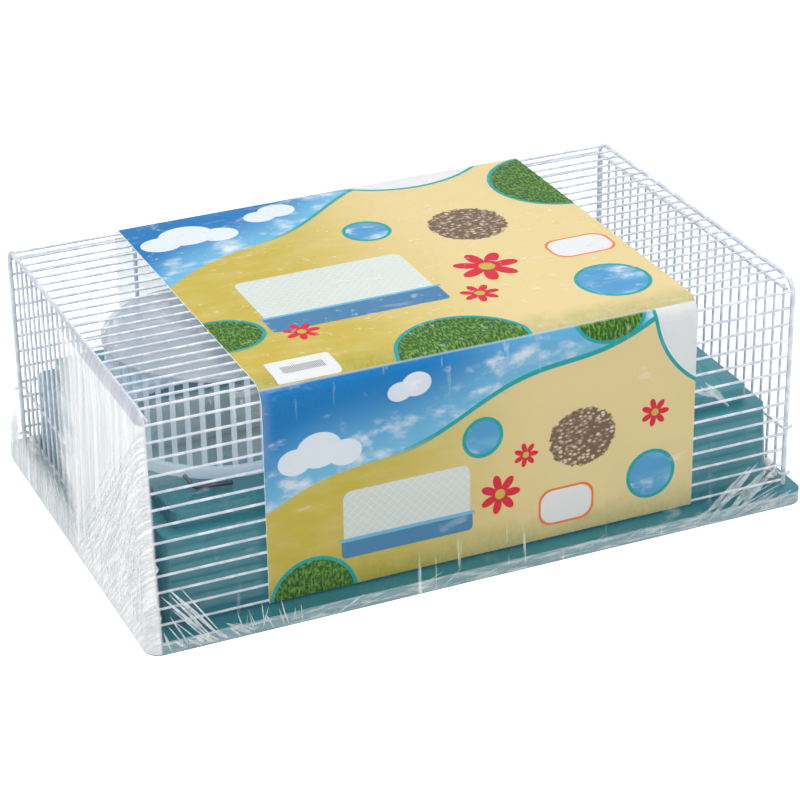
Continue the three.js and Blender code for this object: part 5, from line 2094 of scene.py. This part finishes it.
@dataclass
class Bottle:
    """The drinking bottle with its cap, tube and ball, modelled upright and laid along the cage."""

    floor: float
    left: float = -0.050
    y: float = -0.087
    radius: float = 0.022
    length: float = 0.098
    shoulder: float = 0.012
    neck_radius: float = 0.0125
    neck_length: float = 0.011
    wall: float = 0.0013
    gap: float = 0.0003
    cap_wall: float = 0.002
    cap_length: float = 0.015
    ribs: int = 30
    tube: float = 0.007
    tube_wall: float = 0.0008
    tube_straight: float = 0.016
    tube_reach: float = 0.024
    tube_bend: float = 0.012
    tube_turn: float = 32.0
    ball: float = 0.0046

    def __post_init__(self) -> None:
        """Work out the heights of the neck and the cap."""
        self.neck_foot = self.length - self.neck_length
        self.cap_foot = self.neck_foot + self.gap
        self.cap_top = self.cap_foot + self.cap_length

    def laid(self, piece: Piece) -> Piece:
        """Lay an upright piece down along the cage on the floor."""
        place = shift((self.left, self.y, self.floor + self.radius))
        return moved(piece, place @ Matrix.Rotation(math.pi / 2, 4, "Y"))

    def build_body(self) -> Piece:
        """Return the bottle: a grooved body, a round shoulder and a threaded neck."""
        radius, wall, neck = self.radius, self.wall, self.neck_radius
        outer = [(0, 0.0018), (radius * 0.55, 0.0018), (radius * 0.7, 0), (radius - 0.002, 0),
                 (radius, 0.002)]
        for height in (0.016, 0.030, 0.044, 0.058):
            outer += [(radius, height - 0.0016), (radius - 0.0007, height), (radius, height + 0.0016)]
        foot = self.neck_foot - self.shoulder
        turns = [k * math.pi / 12 for k in range(7)]
        swell = [(neck + (radius - neck) * math.cos(turn), foot + self.shoulder * math.sin(turn))
                 for turn in turns]
        thread = []
        for height in (0.003, 0.006, 0.009):
            level = self.neck_foot + height
            thread += [(neck - 0.0006, level - 0.0009), (neck, level), (neck - 0.0006, level + 0.0009)]
        outer += swell + thread + [(neck - 0.0006, self.length)]
        throat = neck - wall - 0.0004
        inner = [(throat, self.length), (throat, self.neck_foot), (radius - wall, foot),
                 (radius - wall, wall + 0.002), (radius - wall - 0.002, wall), (0, wall + 0.0018)]
        return lathe("drinking_bottle", outer + inner, 48, edge=0.0002)

    def build_cap(self) -> Piece:
        """Return the ribbed cap."""
        outside = self.neck_radius + self.gap + self.cap_wall
        inside, hole = self.neck_radius + self.gap, self.tube / 2 + 0.0004
        foot, top, seat = self.cap_foot, self.cap_top, self.length + self.gap
        profile = [
            (inside, foot), (outside - 0.0003, foot), (outside - 0.0003, top - 0.003),
            (outside - 0.0022, top - 0.0006), (outside - 0.0045, top), (hole, top),
            (hole, seat), (inside, seat), (inside, foot),
        ]
        parts = [lathe("cap_shell", profile, 60)]
        rib = rounded_slab("cap_rib", (0.0009, 0.0011, self.cap_length - 0.005), 0.0003,
                           (outside - 0.0004, 0, foot + 0.0008), 0.0002, 2)
        return joined(parts + repeated(rib, around(self.ribs)), "bottle_screw_cap")

    def tip(self, back: float = 0.0) -> Spot:
        """Return the drinking end of the tube, or a place some way back from it."""
        turn = math.radians(self.tube_turn)
        reach = self.tube_reach - back
        elbow = self.cap_top + self.tube_straight
        return (0, reach * math.sin(turn), elbow + reach * math.cos(turn))

    def build(self, palette: Palette) -> None:
        """Build and dress the bottle.

        Args:
            palette: the finishes.
        """
        dress(self.laid(self.build_body()), palette.bottle, "bottle_body")
        dress(self.laid(self.build_cap()), palette.red, "bottle_cap", body=Body.CAP)
        elbow = (0, 0, self.cap_top + self.tube_straight)
        corners = [(0, 0, self.length + self.gap), elbow, self.tip()]
        tube = rod(self.tube, corners, self.tube_bend, 24, self.tube_wall)
        tube.name = "steel_drinking_tube"
        dress(self.laid(tube), palette.steel, "drinking_tube", body=Body.CAP)
        deselect()
        bpy.ops.mesh.primitive_uv_sphere_add(segments=24, ring_count=16, radius=self.ball / 2,
                                             location=self.tip(self.ball / 2))
        apply_place()
        ball = bpy.context.object
        ball.name = "valve_ball"
        dress(self.laid(ball), palette.steel, "drinking_ball", body=Body.CAP)


@dataclass
class LooseParts:
    """The bent rod, the small ring and the food bowl."""

    floor: float
    rod_wire: float = 0.0026
    rod_corners: tuple[Spot, ...] = (
        (-0.154, -0.099, 0.0013), (-0.1777, -0.0950, 0.0013), (-0.1826, -0.0901, 0.0087))
    rod_bend: float = 0.003
    ring_place: Pair = (0.181, -0.070)
    ring_radius: float = 0.0036
    ring_section: float = 0.0016
    bowl_place: Pair = (-0.015, -0.022)
    bowl_radius: float = 0.034
    bowl_foot: float = 0.027
    bowl_height: float = 0.026
    bowl_wall: float = 0.002

    def build_bowl(self) -> Piece:
        """Return the bowl, with a foot ring, a flared side and a rolled lip."""
        radius, foot, top, wall = self.bowl_radius, self.bowl_foot, self.bowl_height, self.bowl_wall
        profile = [
            (0, 0.0012), (foot - 0.004, 0.0012), (foot - 0.0035, 0), (foot, 0), (foot + 0.001, 0.003),
            (radius - 0.003, top - 0.004), (radius - 0.0018, top - 0.0026), (radius, top - 0.0022),
            (radius, top - 0.0006), (radius - 0.0012, top), (radius - 0.0034, top),
            (radius - 0.005, top - 0.0018), (foot - wall + 0.0015, wall + 0.005),
            (foot - wall - 0.003, wall), (0, wall),
        ]
        return lathe("pet_bowl", profile, 56, (*self.bowl_place, self.floor), 0.0005)

    def build(self, palette: Palette) -> None:
        """Build and dress the loose parts.

        Args:
            palette: the finishes.
        """
        corners = [(x, y, z + self.floor) for x, y, z in self.rod_corners]
        bent = rod(self.rod_wire, corners, self.rod_bend, 16)
        bent.name = "bent_hanger"
        dress(bent, palette.dull_steel, "hanger_rod")
        deselect()
        thick = self.ring_section / 2
        bpy.ops.mesh.primitive_torus_add(major_segments=40, minor_segments=12,
                                         major_radius=self.ring_radius, minor_radius=thick,
                                         location=(*self.ring_place, self.floor + thick))
        apply_place()
        ring = bpy.context.object
        ring.name = "rubber_ring"
        dress(ring, palette.rubber, "sealing_ring")
        dress(self.build_bowl(), palette.red, "food_bowl")


@dataclass
class SleepingHouse:
    """The house: a barrel roof over upright walls, open below, with a doorway and a window."""

    floor: float
    x: float = 0.094
    y: float = 0.079
    length: float = 0.088
    width: float = 0.066
    height: float = 0.062
    wall: float = 0.0018
    door: Pair = (0.034, 0.040)
    window: Pair = (0.026, 0.030)
    arch_steps: int = 20
    overcut: float = 0.004

    def arch(self, name: str, width: float, height: float, length: float, foot: float) -> Piece:
        """Return an arched block along X, centred, with its foot at a height.

        Args:
            name: the piece's name.
            width: its width.
            height: the height.
            length: its length.
            foot: the height of its foot.
        """
        spring = height - width / 2
        start_at((-length / 2, -width / 2, foot))
        pull((0, 0, spring))
        bpy.ops.mesh.spin(steps=self.arch_steps, angle=-math.pi,
                          center=(-length / 2, 0, foot + spring), axis=(-1, 0, 0))
        pull((0, 0, -spring))
        tidy_mesh()
        pick_all()
        bpy.ops.mesh.edge_face_add()
        pull((length, 0, 0))
        return settled(name)

    def cut(self, piece: Piece, tool: Piece) -> None:
        """Cut one block from another and delete it."""
        modify(piece, "BOOLEAN", operation="DIFFERENCE", object=tool, solver="EXACT")
        bpy.data.objects.remove(tool, do_unlink=True)

    def build(self, palette: Palette) -> None:
        """Build and dress the house.

        Args:
            palette: the finishes.
        """
        over = self.overcut
        half_x, half_y = self.length / 2, self.width / 2
        house = self.arch("house_shell", self.width, self.height, self.length, 0)
        hollow = self.arch("hollow", self.width - 2 * self.wall, self.height - self.wall + over,
                           self.length - 2 * self.wall, -over)
        self.cut(house, hollow)
        doorway = self.arch("doorway", self.door[0], self.door[1] + over, half_x, -over)
        self.cut(house, moved(doorway, shift((-half_x, 0, 0))))
        window = self.arch("window", self.window[0], self.window[1] + over, half_y, -over)
        turn = Matrix.Rotation(math.pi / 2, 4, "Z")
        self.cut(house, moved(window, shift((0, -half_y, 0)) @ turn))
        bevel(house, 0.0006, 40)
        piece = moved(joined([house], "sleeping_house_shell"), shift((self.x, self.y, self.floor)))
        dress(piece, palette.white, "sleeping_house", angle=30)


@dataclass
class PropellerToy:
    """The toy propeller on its round mount, held by a pin."""

    floor: float
    x: float = 0.088
    y: float = -0.008
    gap: float = 0.0003
    blades: int = 5
    reach: float = 0.050
    root: float = 0.008
    blade_width: float = 0.016
    root_width: float = 0.008
    blade_thickness: float = 0.0022
    pitch: float = 12.0
    hub_radius: float = 0.009
    hub_height: float = 0.008
    mount_radius: float = 0.017
    mount_height: float = 0.015
    mount_flange: float = 0.003
    mount_neck: float = 0.011
    pin: float = 0.0022
    pin_head: float = 0.0046
    pin_head_height: float = 0.0024
    pin_depth: float = 0.009

    def build_blades(self, foot: float) -> Piece:
        """Return the propeller: a domed hub with broad twisted blades.

        Args:
            foot: the height of its foot.
        """
        bore, radius, height = self.pin + self.gap, self.hub_radius, self.hub_height
        hub = lathe("propeller_hub", [
            (bore, 0), (radius, 0), (radius, height * 0.7), (radius - 0.0012, height * 0.9),
            (radius - 0.0032, height), (bore, height), (bore, 0)], 40, (0, 0, foot))
        length = self.reach - self.root
        blade = rounded_slab("propeller_blade", (length, self.blade_width, self.blade_thickness),
                             self.root_width / 4,
                             (self.root + length / 2, 0, -self.blade_thickness / 2), 0.0008,
                             right_corner=self.blade_width / 2 - 0.0002)
        for vertex in blade.data.vertices:
            share = min(1.0, (vertex.co.x - self.root) / (length * 0.7))
            vertex.co.y *= self.root_width / self.blade_width * (1 - share) + share
        middle = shift((0, 0, foot + height / 2))
        pitch = Matrix.Rotation(math.radians(self.pitch), 4, "X")
        turns = [middle @ turn @ pitch for turn in around(self.blades)]
        piece = joined([hub] + repeated(blade, turns), "toy_propeller")
        return moved(piece, shift((self.x, self.y, 0)))

    def build(self, palette: Palette) -> None:
        """Build and dress the mount, the propeller and its pin.

        Args:
            palette: the finishes.
        """
        place, bore, top = (self.x, self.y, self.floor), self.pin + self.gap, self.mount_height
        radius, flange, neck = self.mount_radius, self.mount_flange, self.mount_neck
        mount = lathe("propeller_base", [
            (0, 0), (radius, 0), (radius, flange * 0.8), (radius - 0.001, flange),
            (neck + 0.002, flange + 0.0006), (neck, flange + 0.003), (neck, top - 0.003),
            (neck - 0.0008, top - 0.0028), (neck - 0.0008, top), (bore, top),
            (bore, top - self.pin_depth), (0, top - self.pin_depth)], 48, place)
        dress(mount, palette.white, "propeller_mount")
        blades = self.build_blades(self.floor + top + self.gap)
        dress(blades, palette.red, "propeller", body=Body.PROPELLER)
        foot = top - self.pin_depth + self.gap
        neck, knob = top + 2 * self.gap + self.hub_height, self.pin_head
        top = neck + self.pin_head_height
        pin = lathe("propeller_axle", [
            (0, foot), (self.pin - 0.0004, foot), (self.pin, foot + 0.0006), (self.pin, neck),
            (knob, neck), (knob, neck + 0.0009), (knob * 0.8, neck + 0.0018), (knob * 0.4, top),
            (0, top)], 32, place, 0.0002)
        dress(pin, palette.steel, "propeller_pin")


@dataclass
class TrimPieces:
    """The toy plane's flat wings and tail pieces for the top of the cage, and its clear dome."""

    floor: float
    x: float = -0.008
    rows: Pair = (0.042, 0.088)
    gap: float = 0.0003
    wing: Spot = (0.090, 0.044, 0.003)
    corners: Pair = (0.005, 0.020)
    fin: Spot = (0.054, 0.036, 0.0024)
    plane: Spot = (0.070, 0.024, 0.0024)
    tail_corner: float = 0.009
    dome_radius: float = 0.021
    dome_height: float = 0.024
    dome_wall: float = 0.0014
    brim: float = 0.003
    lines: int = 4

    def build_wing(self, name: str, row: float, turned: bool) -> Piece:
        """Return a wing with raised lines across it.

        Args:
            name: the piece's name.
            row: its place along Y.
            turned: whether it points the other way.
        """
        length, width, height = self.wing
        low = height - 0.0006
        parts = [rounded_slab(name, (length, width, low), self.corners[0], (0, 0, 0), 0.0008,
                              right_corner=self.corners[1])]
        line = rounded_slab("wing_line", (0.0016, width * 0.7, 0.0012), 0.0007,
                            (0, 0, low - 0.0006), 0.0004, 3)
        middle = (self.lines - 1) / 2
        places = [shift(((k - middle) * length / 5, 0, 0)) for k in range(self.lines)]
        piece = joined(parts + repeated(line, places), name)
        turn = Matrix.Rotation(math.pi if turned else 0, 4, "Z")
        return moved(piece, shift((self.x, row, self.floor)) @ turn)

    def build_dome(self, floor: float) -> Piece:
        """Return the clear dome with its brim.

        Args:
            floor: the height that it stands on.
        """
        radius, height, wall, brim = self.dome_radius, self.dome_height, self.dome_wall, self.brim

        def bulge(size: float, rise: float) -> list[Pair]:
            """Return the points of a quarter round from the brim to the top."""
            angles = [k / 10 * math.pi / 2 for k in range(11)]
            return [(size * math.cos(a), brim + (rise - brim) * math.sin(a)) for a in angles]
        outer, inner = bulge(radius, height), bulge(radius - wall, height - wall)
        outer[-1], inner[-1] = (0, height), (0, height - wall)
        profile = [(radius - wall, 0), (radius + brim, 0), (radius + brim, wall), (radius, wall)]
        profile += outer + inner[::-1] + [(radius - wall, 0)]
        return lathe("clear_bubble", profile, 48, (self.x, self.rows[1], floor), 0.0002)

    def build(self, palette: Palette) -> None:
        """Build and dress the trim pieces.

        Args:
            palette: the finishes.
        """
        front, back = self.rows
        wings = (("front_wing", front, False), ("rear_wing", back, True))
        for node, row, turned in wings:
            dress(self.build_wing(f"{node}_trim", row, turned), palette.blue, node)
        level = self.floor + self.wing[2] + self.gap
        fin = rounded_slab("tail_fin_trim", self.fin, self.fin[1] / 2 - 0.0004,
                           (self.x, front, level), 0.0007, right_corner=self.tail_corner)
        dress(fin, palette.grey, "tail_fin")
        plane = rounded_slab("tail_plane_trim", self.plane, self.tail_corner,
                             (self.x, front, level + self.fin[2] + self.gap), 0.0007)
        dress(plane, palette.red, "tail_plane")
        dress(self.build_dome(level), palette.dome, "clear_dome")


class Palette:
    """The cage's finishes, each built once."""

    def __init__(self, floor: float) -> None:
        """Build the finishes.

        Args:
            floor: the height that the wheel stands on, for its shading.
        """
        effects = Effects()

        def plastic(slot: Slot, *looks: object, **more: object) -> Finish:
            """Return the finish of a moulded plastic from a slot and the plastic's fields."""
            return Finish(Plastic(*looks, **more).build(effects), slot)
        self.paint = Finish(WirePaint().build(effects), Slot.WIRE)
        self.teal = plastic(Slot.TUB, "teal_tub_plastic", rgb(52, 134, 147), 0.27, 700.0, 0.00003,
                            scuff=0.08)
        self.white = plastic(Slot.WHITE, "white_moulded_plastic", rgb(240, 240, 236), 0.35)
        self.clip = plastic(Slot.CLIP, "white_clip_plastic", rgb(250, 250, 246), 0.4, scuff=0.0)
        self.red = plastic(Slot.RED, "red_moulded_plastic", rgb(200, 32, 60), 0.28, scuff=0.15)
        self.blue = plastic(Slot.PALE_BLUE, "pale_blue_trim_plastic", rgb(169, 211, 230), 0.34)
        self.grey = plastic(Slot.GREY, "grey_trim_plastic", rgb(169, 176, 183), 0.36)
        self.rubber = plastic(Slot.RUBBER, "red_brown_rubber", rgb(150, 66, 56), 0.6, scuff=0.1)
        self.bottle = plastic(Slot.BOTTLE, "clear_bottle_plastic", rgb(190, 222, 238), 0.12,
                              alpha=0.4, scuff=0.1)
        self.dome = plastic(Slot.CLEAR, "clear_dome_plastic", rgb(205, 228, 238), 0.08,
                            alpha=0.35, scuff=0.1)
        self.steel = Finish(Steel("bright_steel").build(effects), Slot.STEEL)
        dull = Steel("dull_rod_steel", rgb(84, 94, 104), 0.34)
        self.dull_steel = Finish(dull.build(effects), Slot.STEEL)
        self.milky = Finish(WheelPlastic().build(effects, floor), Slot.WHEEL)
        self.card = Finish(CardPrint().build(CardSleeve()), Slot.CARD)
        self.film = Finish(ShrinkWrap().build(effects), Slot.FILM)
        self.gathered = Finish(GatheredFilm().build(), Slot.FILM)


def main() -> None:
    """Build the cage piece by piece."""
    logging.basicConfig(level=logging.INFO, format="%(name)s: %(message)s")
    Studio().build()
    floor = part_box("running_wheel")[0][2]
    palette = Palette(floor)
    for part in (WireBody(), Tub(), ClosureClips(), RunningWheel(), Bottle(floor), LooseParts(floor),
                 SleepingHouse(floor), PropellerToy(floor), TrimPieces(floor), CardSleeve(),
                 ShrinkFilm(), FilmCreases()):
        part.build(palette)


if __name__ == "__main__":
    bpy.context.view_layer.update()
    main()
